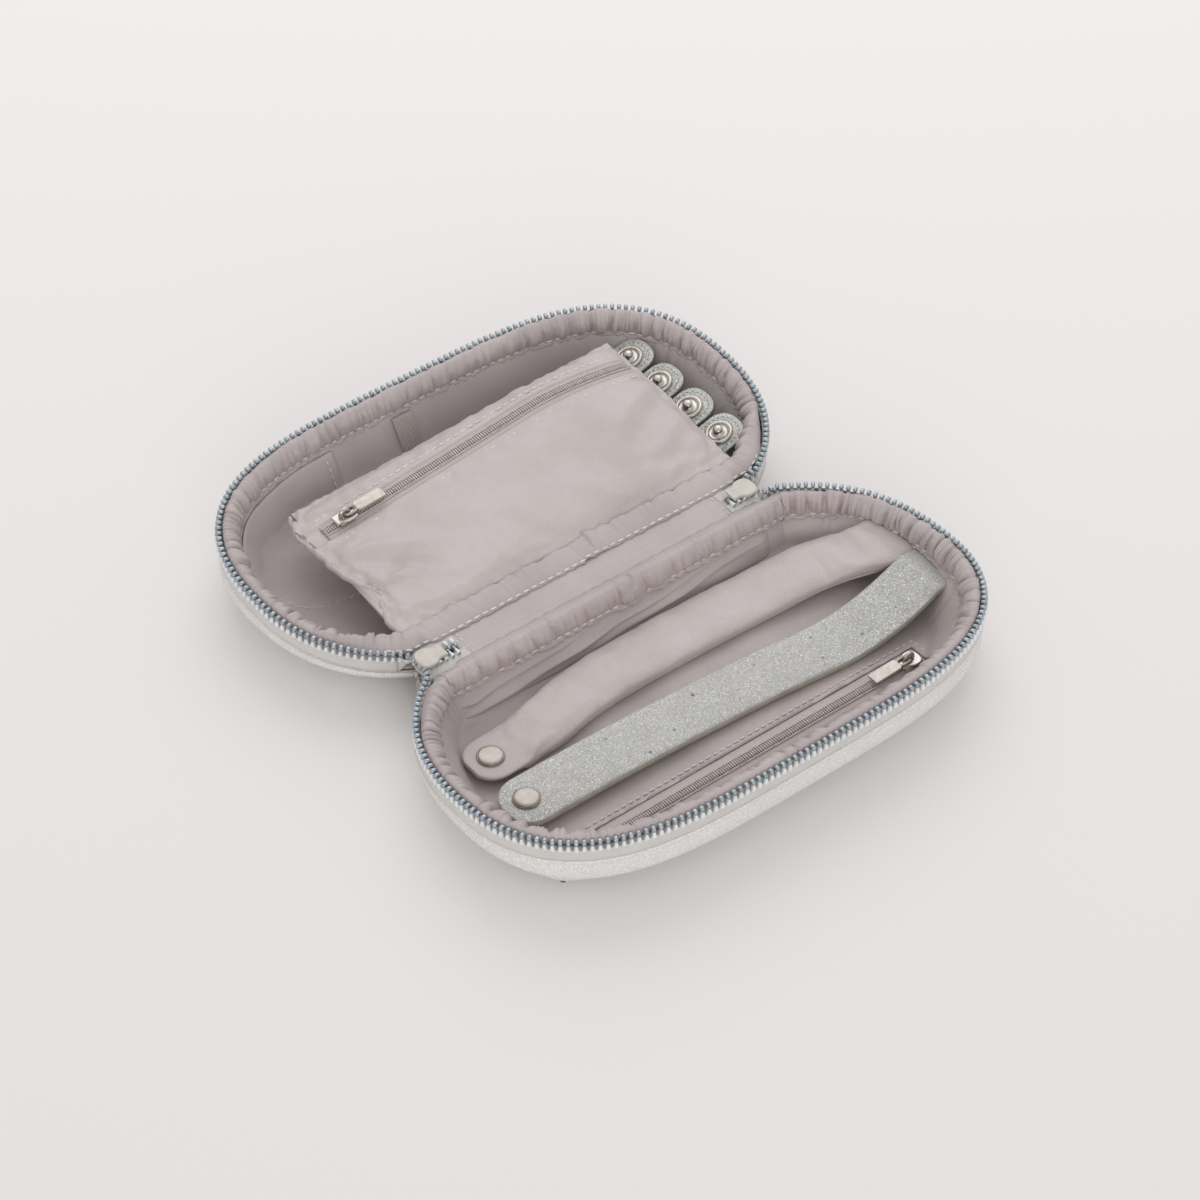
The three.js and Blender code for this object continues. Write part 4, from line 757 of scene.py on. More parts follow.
# Open stretch of the rim, with the zip's tape and teeth, from the right slider round to the left
ROW_LEFT = node_box("main_slider_left")[0][0] - 1.4
ROW_RIGHT = node_box("main_slider_right")[1][0] + 1.4
TOOTH_PITCH = 2.54
CHAIN_Z = 21.8
TAPE_DROP = 2.9
TEETH_INSET, TEETH_DROP = 0.5, 1.95


def zip_tape(half):
    order = rim.open_stretch(ROW_LEFT, ROW_RIGHT)
    profile = [(0.15, 0.0), (-0.1, 0.25), (-0.05, 0.6), (0.0, 0.76), (0.2, 1.0), (0.85, 1.0),
               (0.9, 0.9), (0.85, 0.5), (0.85, 0.1), (0.85, 0.0)]
    loops = [rim.at(inset, lerp(rim.shell_top + 0.1, rim_z(rim.s) - TAPE_DROP, t), SIDES[half])[order]
             for inset, t in profile]
    points, faces = lofted(np.array(loops).transpose(1, 0, 2))
    tape = piece(f"{half}_zip_tape_twill", points, faces, TAPE, BODY[half], "zip_twill", [f"{half}_zip_tape"])
    # The top edge under the teeth takes the darker twill: painted shade between the legs.
    top_edge = {3, 4, 5, 6, 7}
    paint_second(tape, TAPE_EDGE_SHADE, lambda polygon: {v % len(profile) for v in polygon.vertices} <= top_edge)


# Height, half length along the row and half width of a tooth, from its feet up
TOOTH_RINGS = [
    (-2.8, 0.85, 1.0), (-2.65, 0.98, 1.28), (-1.9, 0.82, 1.36), (-0.9, 0.56, 1.32), (-0.2, 0.46, 1.2),
    (0.25, 0.6, 1.05), (0.6, 0.78, 1.14), (1.1, 0.78, 1.05), (1.4, 0.6, 0.8), (1.52, 0.3, 0.4),
]
TOOTH_SIDES = 10
LEG_ROWS = 4


def tooth():
    """One metal tooth: legs round the tape's edge, a waist and a rounded head. X runs along the row."""
    x, y = (powered(v, 0.55) for v in circle(TOOTH_SIDES))
    return lofted([columns(a * x, b * y, z) for z, a, b in TOOTH_RINGS])


def teeth(name, shapes):
    """Teeth as one piece, with legs painted brighter than the heads: painted light."""
    row = piece(name, *joined(shapes), STEEL)
    each = (len(TOOTH_RINGS) + 1) * TOOTH_SIDES
    paint_second(row, STEEL_LEGS_PAINTED_LIGHT, lambda polygon: polygon.index % each < LEG_ROWS * TOOTH_SIDES)
    return row


def teeth_line(side):
    return rim.at(TEETH_INSET, rim_z(rim.s) - TEETH_DROP, side)[rim.open_stretch(ROW_LEFT, ROW_RIGHT)]


def zip_teeth(half):
    side = SIDES[half]
    line = teeth_line(side)
    along = lengths(line)
    count = int(along[-1] // TOOTH_PITCH)
    slope_up = np.array([0, -side * math.sin(RIM_SLOPE), math.cos(RIM_SLOPE)])
    shape = tooth()
    shapes = []
    for i in range(count):
        u = (i + 0.5) * along[-1] / count
        before, here, after = (spot(line, along, u + d) for d in (-0.5, 0, 0.5))
        shapes.append(placed(shape, here, after - before, slope_up))
    row = teeth(f"{half}_zip_teeth_steel", shapes)
    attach(row, BODY[half])
    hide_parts(f"{half}_zip_teeth")


for half in SIDES:
    zip_tape(half)
    zip_teeth(half)


# Spine: satin strip inside, leather outside, each in two halves
def across_strip(name, profile, thick, side, x0, x1, material, creases=0.0, seed=1):
    """A strip along X whose section is a line of (distance from the middle, height)."""
    xs = np.linspace(x0, x1, 110)
    profile = np.asarray(profile, float)
    fine = np.linspace(0, len(profile) - 1, 30)
    ys = np.interp(fine, np.arange(len(profile)), profile[:, 0])
    zs = np.interp(fine, np.arange(len(profile)), profile[:, 1])
    way = np.gradient(columns(ys, zs), axis=0)
    way /= np.linalg.norm(way, axis=1)[:, None]
    out_y, out_z = -way[:, 1], way[:, 0]
    rings = []
    for x in xs:
        top = columns(x, side * ys, zs)
        if creases:
            wander = 0.9 * noise.noise(Vector((x * 0.06, seed, 0.5))) + 0.3 * math.sin(x / 5.1)
            deep = creases * (0.8 + 0.9 * noise.noise(Vector((x * 0.09, seed, 7.5))))
            top[:, 2] -= deep * np.exp(-((ys - 3.6 - wander) / 0.7) ** 2)
            top[:, 2] += 0.3 * hills(top * [0.35, 0.5, 1], 0.16, 5)
        low = top.copy()
        low[:, 1] -= side * out_y * thick
        low[:, 2] -= out_z * thick
        rings.append(np.vstack([top, low[::-1]]))
    return piece(name, *lofted(rings), material)


SATIN_BEND = (2.2, 5.8)
LEATHER_BEND = (3.2, 4.1)
SPINE_THICK = 0.55
# Distance from the middle and height
SPINE_SATIN_SECTION = [(0, 21.38), (0.06, 21.4), (1.8, 21.4), (3.2, 21.36), (4.2, 21.34), (6, 21.36),
                       (7.6, 21.3), (8.9, 20.9), (9.9, 20.3)]
SPINE_LEATHER_SECTION = [(0, 20.2), (2.4, 20.2), (3.6, 20.05), (4.15, 19.4), (4.25, 18.3), (4.25, 16.5),
                         (4.25, 13.6)]


def spine_half(half):
    side = SIDES[half]
    cloth = across_strip(f"spine_satin_{half}_side", SPINE_SATIN_SECTION, SPINE_THICK, side, SPINE_LEFT - 0.7,
                         SPINE_RIGHT + 0.7, SATIN, 0.1, 3 + side)
    bend_with_fold(cloth, half, *SATIN_BEND)
    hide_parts("spine_lining")
    leather = across_strip(f"spine_leather_{half}_side", SPINE_LEATHER_SECTION, -SPINE_THICK, side,
                           SPINE_LEFT, SPINE_RIGHT, SHELL_SKIN)
    for v in leather.data.vertices:
        v.co.y -= side * 0.4 * MM
    bend_with_fold(leather, half, *LEATHER_BEND)
    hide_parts("spine_panel")


for half in SIDES:
    spine_half(half)


# Tape between the spine's ends and the rim, and the meshed teeth beside the sliders
def end_tape(half, end):
    side = SIDES[half]
    x0 = SPINE_LEFT + 1.2 if end == "left" else SPINE_RIGHT - 1.2
    x1 = ROW_LEFT - 0.6 if end == "left" else ROW_RIGHT + 0.6
    near = (rim.s < RIM_WIDEST) & ((rim.x < 0) == (x0 < 0))
    order = np.argsort(rim.x[near])
    rx, rs, top = rim.x[near][order], rim.s[near][order], rim.shell_top[near][order]
    rings = []
    for t in np.linspace(0, 1, 26):
        x = lerp(x0, x1, t)
        s_rim = float(np.interp(x, rx, rs))
        turn = float(smooth(t, 0.72, 1.0))
        edge_y = lerp(1.5, s_rim + 0.5, turn)
        edge_z = lerp(CHAIN_Z - 0.2, float(rim_z(s_rim)) - TAPE_DROP, turn)
        low_y = lerp(SHELL_BACK + 4.4, s_rim + 0.4, float(smooth(t, 0.45, 1.0)))
        low_z = lerp(20.75, float(np.interp(x, rx, top)) + 0.4, float(smooth(t, 0.6, 1.0)) ** 2)
        steps = np.linspace(0, 1, 9)
        ys = lerp(edge_y, low_y, steps)
        zs = lerp(edge_z, low_z, steps) + 0.35 * np.sin(steps * math.pi)
        upper = columns(x, side * ys, zs)
        lower = upper[::-1].copy()
        lower[:, 2] -= 0.6
        rings.append(np.vstack([upper, lower]))
    tape = piece(f"{half}_end_tape_{end}", *lofted(rings), TAPE)
    bend_with_fold(tape, half, *SATIN_BEND)


def meshed_teeth(end):
    low, high = node_box(f"zip_end_{end}")
    shapes = []
    points, faces = tooth()
    slim = (points * [0.72, 0.8, 0.95], faces)
    x, last = (low[0] - 1.6, high[0] - 0.3) if end == "left" else (low[0] + 0.6, high[0] + 1.6)
    while x < last:
        way = 1 if len(shapes) % 2 else -1
        shapes.append(placed(slim, (x, way * 1.15, CHAIN_Z + 0.35), (1, 0, 0), (0, -way, 0)))
        x += TOOTH_PITCH / 2
    chain = teeth(f"meshed_teeth_{end}", shapes)
    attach(chain, "spine")
    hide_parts(f"zip_end_{end}")


def lead_teeth(half, end):
    """The teeth between a slider's mouth and the open row of the rim."""
    side, way = SIDES[half], -1 if end == "left" else 1
    low, high = node_box(f"main_slider_{end}")
    row = teeth_line(side)[::-1] if end == "left" else teeth_line(side)
    mouth = np.array([high[0] - 2.2 if way > 0 else low[0] + 2.2, side * 1.9, CHAIN_Z])
    first, after = row[0], row[4]
    bend = first - (after - first) / np.linalg.norm(after - first) * np.linalg.norm(first - mouth) * 0.55
    path = bezier(mouth, bend, first, 40)
    along = lengths(path)
    shapes = []
    count = max(1, round(along[-1] / TOOTH_PITCH))
    for i in range(count):
        u = (i + 0.5) * along[-1] / count
        here, ahead = (spot(path, along, v) for v in (u, u + 0.5))
        share = u / along[-1]
        shapes.append(placed(tooth(), here, ahead - here, (0, -side * (1 - share), 0.2 + share)))
    lead = teeth(f"{half}_lead_teeth_{end}", shapes)
    bend_with_fold(lead, half, *SATIN_BEND)


for end in ("left", "right"):
    meshed_teeth(end)
    for half in SIDES:
        end_tape(half, end)


# Double stitches across the ends of the spine strip
def spine_end_stitches(end):
    for k in (0, 1):
        x = (SPINE_LEFT + 0.9 + 1.7 * k) if end == "left" else (SPINE_RIGHT - 0.9 - 1.7 * k)
        for half, side in SIDES.items():
            ys = np.linspace(0.6, 8.6, 12)
            path = columns(x, side * ys, 21.35)
            thread = stitches(f"spine_{end}_stitches_{half}_{k + 1}", path, UP, None, pitch=2.6, size=0.8)
            bend_with_fold(thread, half, *SATIN_BEND)


for end in ("left", "right"):
    spine_end_stitches(end)


# Sliders and pullers
def bezier(a, b, c, steps):
    t = np.linspace(0, 1, steps)[:, None]
    a, b, c = (np.asarray(p, float) for p in (a, b, c))
    return (1 - t) ** 2 * a + 2 * t * (1 - t) * b + t ** 2 * c


def slider_plan(length, half):
    """Plate outline of a slider: a broad rounded head at the mouths and a straight, narrower tail."""
    nose = length / 2
    parts = [
        bezier((nose, 0), (nose, half * 0.9), (nose * 0.55, half), 12),
        bezier((nose * 0.55, half), (nose * 0.1, half * 1.06), (-nose * 0.12, half * 0.9), 8)[1:],
        bezier((-nose * 0.12, half * 0.9), (-nose * 0.3, half * 0.72), (-nose * 0.5, half * 0.68), 8)[1:],
        bezier((-nose * 0.5, half * 0.68), (-nose * 0.75, half * 0.66), (-nose * 0.93, half * 0.7), 6)[1:],
        bezier((-nose * 0.93, half * 0.7), (-nose, half * 0.7), (-nose, half * 0.6), 5)[1:],
    ]
    upper = np.vstack(parts)
    lower = (upper * [1, -1])[::-1][:-1]
    return np.vstack([upper, lower])


# Rise and inset of a plate's rounded edge, as shares of its size
PLATE_EDGE = [(0, 2.2), (0, 1.2), (0.3, 0.35), (1, 0), (1.3, 0)]


def plate_shape(plan, z0, z1, edge=0.28):
    """A plate with flat faces and rounded edges from a plan outline."""
    plan = np.asarray(plan, float)
    centre = plan.mean(axis=0)
    size = np.abs(plan - centre).max(axis=0)
    layers = [(z0 + edge * rise, edge * inset) for rise, inset in PLATE_EDGE]
    layers += [(z1 - edge * rise, edge * inset) for rise, inset in reversed(PLATE_EDGE)]
    rings = []
    for z, inset in layers:
        scaled = centre + (plan - centre) * (1 - inset / size)
        rings.append(columns(*scaled.T, z))
    return lofted(rings)


def tube(path, radius, sides=12, closed=False, flat=1.0):
    """A round rod along a path; flat below 1 makes it thinner upwards."""
    path = np.asarray(path, float)
    way = np.gradient(path, axis=0)
    if closed:
        way[0] = way[-1] = path[1] - path[-1]
    rings = []
    c, n = (v[:, None] for v in circle(sides))
    for p, d in zip(path, way):
        d = d / np.linalg.norm(d)
        helper = np.array([0, 1, 0]) if abs(d[1]) < 0.8 else np.array([0, 0, 1])
        a = np.cross(d, helper)
        a /= np.linalg.norm(a)
        b = np.cross(d, a)
        rings.append(p + radius * (c * a * flat + n * b))
    return lofted(rings, wrap=closed)


def arch_shape(base_z, x, open_x, open_z, wire):
    """A bowed loop that stands on a slider's plate."""
    t = np.linspace(0, 1, 15)
    reach = open_x / 2 + wire
    px = x - reach * np.cos(math.pi * t)
    pz = base_z - 0.3 + (open_z + wire + 0.3) * np.sin(math.pi * t) ** 0.55
    return tube(columns(px, 0, pz), wire)


def frame_axes(origin, x_axis, z_axis):
    """A function from local points to world points."""
    x_axis, z_axis = (np.asarray(a, float) / np.linalg.norm(a) for a in (x_axis, z_axis))
    y_axis = np.cross(z_axis, x_axis)
    return lambda points: np.asarray(points) @ np.stack([x_axis, y_axis, z_axis]) + np.asarray(origin)


joint_place = {j["name"]: np.array(j.get("pos_m") or (0, 0, 0)) / MM for j in frame["joints"]}
joint_axis = {j["name"]: np.array(j["axis"], float) for j in frame["joints"]}


def main_slider(end):
    low, high = node_box(f"main_slider_{end}")
    way = -1 if end == "left" else 1
    put = frame_axes(((low[0] + high[0]) / 2, 0, CHAIN_Z), (way, 0, 0), (0, 0, -1))
    plan = slider_plan(10.8, 4.3)
    shapes = [
        plate_shape(plan, -2.6, -1.4), plate_shape(plan, 1.4, 2.6),
        shifted(rounded_bar(1.0, 1.0, 1.6, rings=5), [4.2, 0, 0]),
        arch_shape(2.6, 4.3, 2.0, 1.7, 0.72),
    ]
    points, faces = joined(shapes)
    piece(f"main_slider_{end}_body", put(points), faces, CREAM_METAL, f"main_slider_{end}", "slider_metal",
          [f"main_slider_{end}"])


MAIN_PULL_LENGTH = 15.5
COIL_PULL_LENGTH = 16.5
PULL_HALF = 2.4
PULL_CORNER = 0.5


def pull(name, node, origin, x_axis, z_axis, length, body):
    """A hanging puller: a wire link that ends in a flat tab."""
    put = frame_axes(origin, x_axis, z_axis)
    c, n = circle(40)
    link = columns(2.45 + 2.5 * powered(c, 0.7), 1.5 * powered(n, 0.7), 0)
    plan = [(4.6, 0.7 - PULL_HALF), (5.4, -PULL_HALF), (length - PULL_CORNER, -PULL_HALF),
            (length - 0.1, 0.1 - PULL_HALF), (length, PULL_CORNER - PULL_HALF)]
    plan += [(x, -y) for x, y in reversed(plan)]
    points, faces = joined([tube(link, 0.52, closed=True), plate_shape(plan, -0.55, 0.55, 0.14)])
    piece(name, put(points), faces, PULL_METAL, body, "nickel", [node])


for end in ("left", "right"):
    main_slider(end)
    for half in SIDES:
        lead_teeth(half, end)
    place = joint_place[f"main_pull_{end}_swing"]
    way = -1 if end == "left" else 1
    pull(f"main_pull_{end}_tab", f"main_pull_{end}", place, (0, 0, -1), (-way, 0, 0), MAIN_PULL_LENGTH,
         f"main_pull_{end}")


PIN_HEIGHT = 3.65


def coil_slider(name, node, pin, x_axis, z_axis, body):
    """A small slider whose puller turns on a pin over its roof."""
    put = frame_axes(pin - np.asarray(z_axis, float) * PIN_HEIGHT, x_axis, z_axis)
    roof = plate_shape(slider_plan(9, 3.45), 1.9, 2.8, 0.3)
    walls = [plate_shape([(-3.4, low), (2.4, low), (2.4, high), (-3.4, high)], 0.35, 2.1, 0.1)
             for low, high in ((2.05, 2.65), (-2.65, -2.05))]
    points, faces = joined([roof, *walls, arch_shape(2.8, 0, 2.0, 1.7, 0.75)])
    piece(name, put(points), faces, NICKEL, body, "nickel", [node])


POUCH_TILT = joint_axis["pouch_zip_slide"]
pouch_up = np.array([-POUCH_TILT[2], 0, POUCH_TILT[0]])
pouch_pin = joint_place["pouch_pull_swing"]
POUCH_PULL_WAY = (0.9977, 0, 0.0677)
POUCH_PULL_UP = (-0.0677, 0, 0.9977)
coil_slider("pouch_slider_body", "pouch_slider", pouch_pin, POUCH_TILT, pouch_up, "pouch_slider")
pull("pouch_pull_tab", "pouch_pull", pouch_pin, POUCH_PULL_WAY, POUCH_PULL_UP, COIL_PULL_LENGTH, "pouch_pull")
floor_pin = joint_place["floor_pocket_pull_swing"]
droop = math.radians(3)
coil_slider("floor_slider_body", "floor_pocket_slider", floor_pin, (1, 0, 0), UP, "floor_pocket_slider")
pull("floor_pull_tab", "floor_pocket_pull", floor_pin, (-math.cos(droop), 0, -math.sin(droop)),
     (-math.sin(droop), 0, math.cos(droop)), COIL_PULL_LENGTH, "floor_pocket_pull")


# Pouch: the surface that its cloth, zip and stitches follow
pouch_low, pouch_high = node_box("pouch")
POUCH_LEFT, POUCH_RIGHT = pouch_low[0], pouch_high[0]
POUCH_NEAR, POUCH_FAR = pouch_low[1], pouch_high[1]
POUCH_ZIP_Y = POUCH_FAR - 16.5
PLATEAU = 5.6
POUCH_PEAK_X = lerp(POUCH_LEFT, POUCH_RIGHT, 0.67)
POUCH_EDGE = 0.8
POUCH_CROWN = 7.4
POUCH_LET_OUT = 0.05
POUCH_CAP = 1.7
POUCH_BELLY = 6
POUCH_NEAR_Z = RIM_HEIGHT - 2


def swell(t):
    return np.sin(np.clip(t, 0, 1) * math.pi / 2) ** 0.8


def pouch_edge_z(x, y):
    far = RIM_HEIGHT + lerp(-3, 3, (x - POUCH_LEFT) / (POUCH_RIGHT - POUCH_LEFT))
    return lerp(POUCH_NEAR_Z, far, smooth(y, POUCH_NEAR, POUCH_ZIP_Y - PLATEAU))


def pouch_top(x, y):
    x, y = np.asarray(x, float), np.asarray(y, float)
    rise = (x - POUCH_LEFT) / (POUCH_PEAK_X - POUCH_LEFT)
    along = np.where(x < POUCH_PEAK_X, rise, swell(1 - (x - POUCH_PEAK_X) / (POUCH_RIGHT - POUCH_PEAK_X)))
    start, end = POUCH_ZIP_Y - PLATEAU, POUCH_ZIP_Y + PLATEAU
    across = np.where(y < start, swell((y - POUCH_NEAR) / (start - POUCH_NEAR)),
                      swell(1 - (y - end) / (POUCH_FAR - end)))
    return pouch_edge_z(x, y) + POUCH_EDGE + POUCH_CROWN * np.clip(along, 0, 1) * across


def pouch_bottom(x, y):
    u = (x - POUCH_LEFT) / (POUCH_RIGHT - POUCH_LEFT)
    v = (y - POUCH_NEAR) / (POUCH_FAR - POUCH_NEAR)
    share = np.clip(np.sin(math.pi * u) * np.sin(math.pi * v), 0, 1)
    return pouch_edge_z(x, y) - POUCH_EDGE - POUCH_BELLY * share ** 0.6


def fold_lines(x, y, lines):
    """Soft ridges and hollows along straight lines: from, to, width and height."""
    total = np.zeros_like(x)
    for (x0, y0), (x1, y1), width, height in lines:
        dx, dy = x1 - x0, y1 - y0
        size = math.hypot(dx, dy)
        t = ((x - x0) * dx + (y - y0) * dy) / size ** 2
        off = ((x - x0) * dy - (y - y0) * dx) / size
        total += height * np.exp(-(off / width) ** 2) * np.exp(-((t - 0.45) / 0.42) ** 4)
    return total


def relaxed(moves):
    """Moves of a grid with its steps smoothed out."""
    kernel = np.array([1, 3, 4, 3, 1]) / 12
    for axis in (0, 1):
        wide = np.concatenate([np.take(moves, [0, 0], axis), moves, np.take(moves, [-1, -1], axis)], axis)
        count = moves.shape[axis]
        moves = sum(k * np.take(wide, range(i, i + count), axis) for i, k in enumerate(kernel))
    return moves


CLOTH_SCALE = 0.02
CLOTH_STEP = 2
CLOTH_PRESSURE = 3
CLOTH_FRAMES = 20


def cloth_moves(rings, held, let_out, cap):
    """How far each point of a closed grid of rings moves when its cloth is let out and blown up a little.

    held is 1 where the cloth is sewn down and 0 where it is free. Every other ring and point is simulated.
    """
    rings = np.asarray(rings, float)
    rows = np.unique(np.append(np.arange(0, len(rings), CLOTH_STEP), len(rings) - 1))
    picks = np.arange(0, rings.shape[1], CLOTH_STEP)
    coarse = rings[rows][:, picks]
    points, faces = lofted(coarse)
    obj = piece("cloth_at_work", points * CLOTH_SCALE, faces, SATIN)
    obj.data.transform(Matrix.Scale(1 / MM, 4))
    group = obj.vertex_groups.new(name="held")
    for i, share in enumerate(np.append(held[rows][:, picks].reshape(-1), [1, 1])):
        group.add([i], float(share), "REPLACE")
    start = np.array([v.co for v in obj.data.vertices])
    cloth = obj.modifiers.new("cloth", "CLOTH").settings
    cloth.quality, cloth.mass = 6, 0.3
    cloth.tension_stiffness, cloth.compression_stiffness = 20, 20
    cloth.shear_stiffness, cloth.bending_stiffness = 8, 0.15
    cloth.vertex_group_mass = "held"
    cloth.use_pressure, cloth.uniform_pressure_force = True, CLOTH_PRESSURE
    cloth.shrink_min = -let_out
    cloth.effector_weights.gravity = 0
    for frame_number in range(1, CLOTH_FRAMES + 1):
        bpy.context.scene.frame_set(frame_number)
    bake(obj)
    end = np.array([v.co for v in obj.data.vertices])
    bpy.context.scene.frame_set(1)
    bpy.data.objects.remove(obj)
    moves = ((end - start) / CLOTH_SCALE)[:-2].reshape(len(rows), len(picks), 3)
    size = np.linalg.norm(moves, axis=2, keepdims=True)
    moves = moves * np.minimum(1, cap / np.maximum(size, 1e-9))
    along = np.array([[np.interp(np.arange(len(rings)), rows, moves[:, c, k]) for k in range(3)]
                      for c in range(len(picks))]).transpose(2, 0, 1)
    count = rings.shape[1]
    full = np.array([[np.interp(np.arange(count), picks, row[:, k], period=count) for k in range(3)]
                     for row in along]).transpose(0, 2, 1)
    return relaxed(full)


# Folds of the pouch: from, to, width and height
POUCH_FOLDS = [
    ((-66, 37), (-44, 47), 1.9, -1.0), ((-66, 37), (-46, 31), 1.7, -0.9), ((-67, 38), (-50, 38), 1.3, 0.7),
    ((-70, 61), (-54, 57), 1.6, -0.6),
    ((-66, 62), (-34, 40), 3.2, 1.1), ((-66, 55), (-40, 30), 2.8, -1.1), ((-67, 44), (-42, 20), 3.0, 1.0),
    ((-62, 34), (-36, 22), 2.4, -1.0), ((-66, 26), (-46, 19), 2.2, 0.7), ((-40, 18), (-15, 30), 4.0, 0.8),
    ((72, 60), (40, 44), 3.4, 1.1), ((72, 52), (38, 34), 4.0, -1.3), ((72, 42), (36, 22), 3.6, 1.0),
    ((66, 24), (36, 30), 3.2, -1.0), ((70, 30), (44, 19), 2.6, 0.7), ((30, 17), (12, 40), 4.4, 0.7),
    ((-5, 17), (-16, 44), 4.4, -0.7), ((-66, 86), (-50, 76), 1.6, 0.6), ((-44, 88), (-40, 78), 1.8, 0.6),
    ((-20, 88), (-17, 79), 2.0, -0.6), ((8, 88), (6, 79), 2.2, 0.6), ((36, 88), (33, 79), 2.0, -0.6),
    ((60, 88), (52, 80), 2.0, 0.6), ((-64, 80), (-52, 66), 1.6, -0.5),
]


def pouch_lip(y):
    """Turned edges of the cloth on both sides of the zip."""
    off = np.abs(y - POUCH_ZIP_Y)
    return 0.95 * smooth(off, 3.4, 4.2) * (1 - smooth(off, 4.8, 10.5))


# y and shift of places on the pouch's left edge, worked out from points seen in the photograph
LEFT_EDGE_PLACES = [(15, -4.4), (23.6, -4.2), (30.3, -1.4), (36, 1.7), (38.5, 1.6), (43.8, -1.0),
                    (51.7, -2.8), (60, -3.6), (62, -3.1), (66, -3.6), (77.5, -4.4), (86, -1.4), (88, 0)]


def left_shift(x, y):
    """How far the pouch's cloth hangs over its left edge, which is pinched where the hem is gathered."""
    at_edge = np.interp(y, *np.transpose(LEFT_EDGE_PLACES))
    return at_edge * np.exp(-np.maximum(x - POUCH_LEFT, 0) / 9)


def pouch_cloth():
    nx, ny = 150, 96
    xs = POUCH_LEFT + (POUCH_RIGHT - POUCH_LEFT) * (0.5 - 0.5 * np.cos(np.linspace(0, math.pi, nx))) ** 0.9
    ys = POUCH_NEAR + (POUCH_FAR - POUCH_NEAR) * np.linspace(0, 1, ny)
    grid_x, grid_y = np.meshgrid(xs, ys, indexing="ij")
    top, low = pouch_top(grid_x, grid_y), pouch_bottom(grid_x, grid_y)
    flat = columns(grid_x, grid_y, 0).reshape(-1, 3)

    def soft(scale, seed, octaves=3):
        return hills(flat, scale, seed, octaves).reshape(top.shape)

    edge = np.minimum.reduce([grid_x - POUCH_LEFT, POUCH_RIGHT - grid_x, grid_y - POUCH_NEAR,
                              POUCH_FAR - grid_y])
    inside = smooth(edge, 0, 5)
    clear = smooth(np.abs(grid_y - POUCH_ZIP_Y), 5, 9)
    underside = columns(grid_x, grid_y, low)[:, ::-1]
    drawn = np.concatenate([columns(grid_x, grid_y, top - 0.3), underside], axis=1)
    held = 1 - smooth(edge, 0.5, 4) * clear
    held = np.concatenate([held, np.ones_like(held)], axis=1)
    moves = cloth_moves(drawn, held, POUCH_LET_OUT, POUCH_CAP)[:, :ny]
    crumple = 0.3 * soft(0.05, 21, 2)
    pucker = 0.8 * soft(0.3, 22, 2) * np.exp(-(edge / 4) ** 2)
    top = top + (fold_lines(grid_x, grid_y, POUCH_FOLDS) + crumple) * clear * inside
    top = top + pouch_lip(grid_y) * inside + pucker + moves[:, :, 2]
    low = low + 0.4 * soft(0.1, 23) * inside
    draw = 1.1 * soft(0.12, 24) * np.exp(-(edge / 6) ** 2)
    from_end = np.minimum(grid_x - POUCH_LEFT, POUCH_RIGHT - grid_x)
    inward = np.where(grid_x < 0, 1, -1) * np.exp(-from_end / 6)
    px = grid_x + np.abs(draw) * inward + left_shift(grid_x, grid_y)
    above = columns(px + moves[:, :, 0], grid_y + moves[:, :, 1], top)
    return np.concatenate([above, columns(px, grid_y, low)[:, ::-1]], axis=1)


def hem_point(y):
    """A place on the gathered hem of the pouch's left edge."""
    x = POUCH_LEFT + 0.2 + left_shift(POUCH_LEFT, y) + 0.5 * noise.noise(Vector((y * 0.3, 3, 1)))
    return x, y, pouch_edge_z(POUCH_LEFT, y) + 0.5 * noise.noise(Vector((y * 0.4, 1, 5)))


def pouch():
    cloth = piece("pouch_satin", *lofted(pouch_cloth()), SATIN_PAINTED_LIGHT, "pouch", "satin",
                  ["pouch", "pouch_seam"])
    for name, way in (("far", 1), ("near", -1)):
        xs = np.linspace(POUCH_LEFT + 3.5, POUCH_RIGHT - 3.5, 90)
        y = POUCH_ZIP_Y + way * 6.9
        path = columns(xs, y, pouch_top(xs, y) + pouch_lip(y))
        stitches(f"pouch_zip_stitches_{name}", path, UP, "pouch", pitch=3.2, lift=0.3, size=1.15)
    hem = np.array([hem_point(y) for y in np.linspace(POUCH_NEAR + 1, POUCH_FAR - 1, 160)])
    piece("pouch_left_hem", *tube(hem, 1.15, flat=0.8), SATIN, "pouch", "satin")
    stitches("pouch_left_hem_thread", hem + [0.35, 0, 0.9], (-0.7, 0, 0.7), "pouch", pitch=1.7, size=0.7,
             lift=0.0)


COIL_PITCH = 0.95
COIL_BAR = rounded_bar(1.55, 0.34, 0.42, power=2.4, rings=5, sides=8)


def coil_zip(name, tape, line, body, node, cords_name):
    """Nylon coil teeth across a straight line, with a cord along each side, on a tape."""
    tape_name, tape_rings, tape_node = tape
    piece(tape_name, *lofted(tape_rings), COIL_TAPE, body, "zip_twill", [tape_node])
    along = lengths(line)
    across = np.cross(UP, line[-1] - line[0])
    marks = np.arange(COIL_PITCH / 2, along[-1], COIL_PITCH)
    bars = [placed(COIL_BAR, spot(line, along, u), across, UP) for u in marks]
    piece(name, *joined(bars), COIL, body, "coil_nylon", [node])
    cords = [tube(line + [0, way * 1.75, -0.25], 0.3, sides=8) for way in (-1, 1)]
    piece(cords_name, *joined(cords), COIL, body, "coil_nylon")


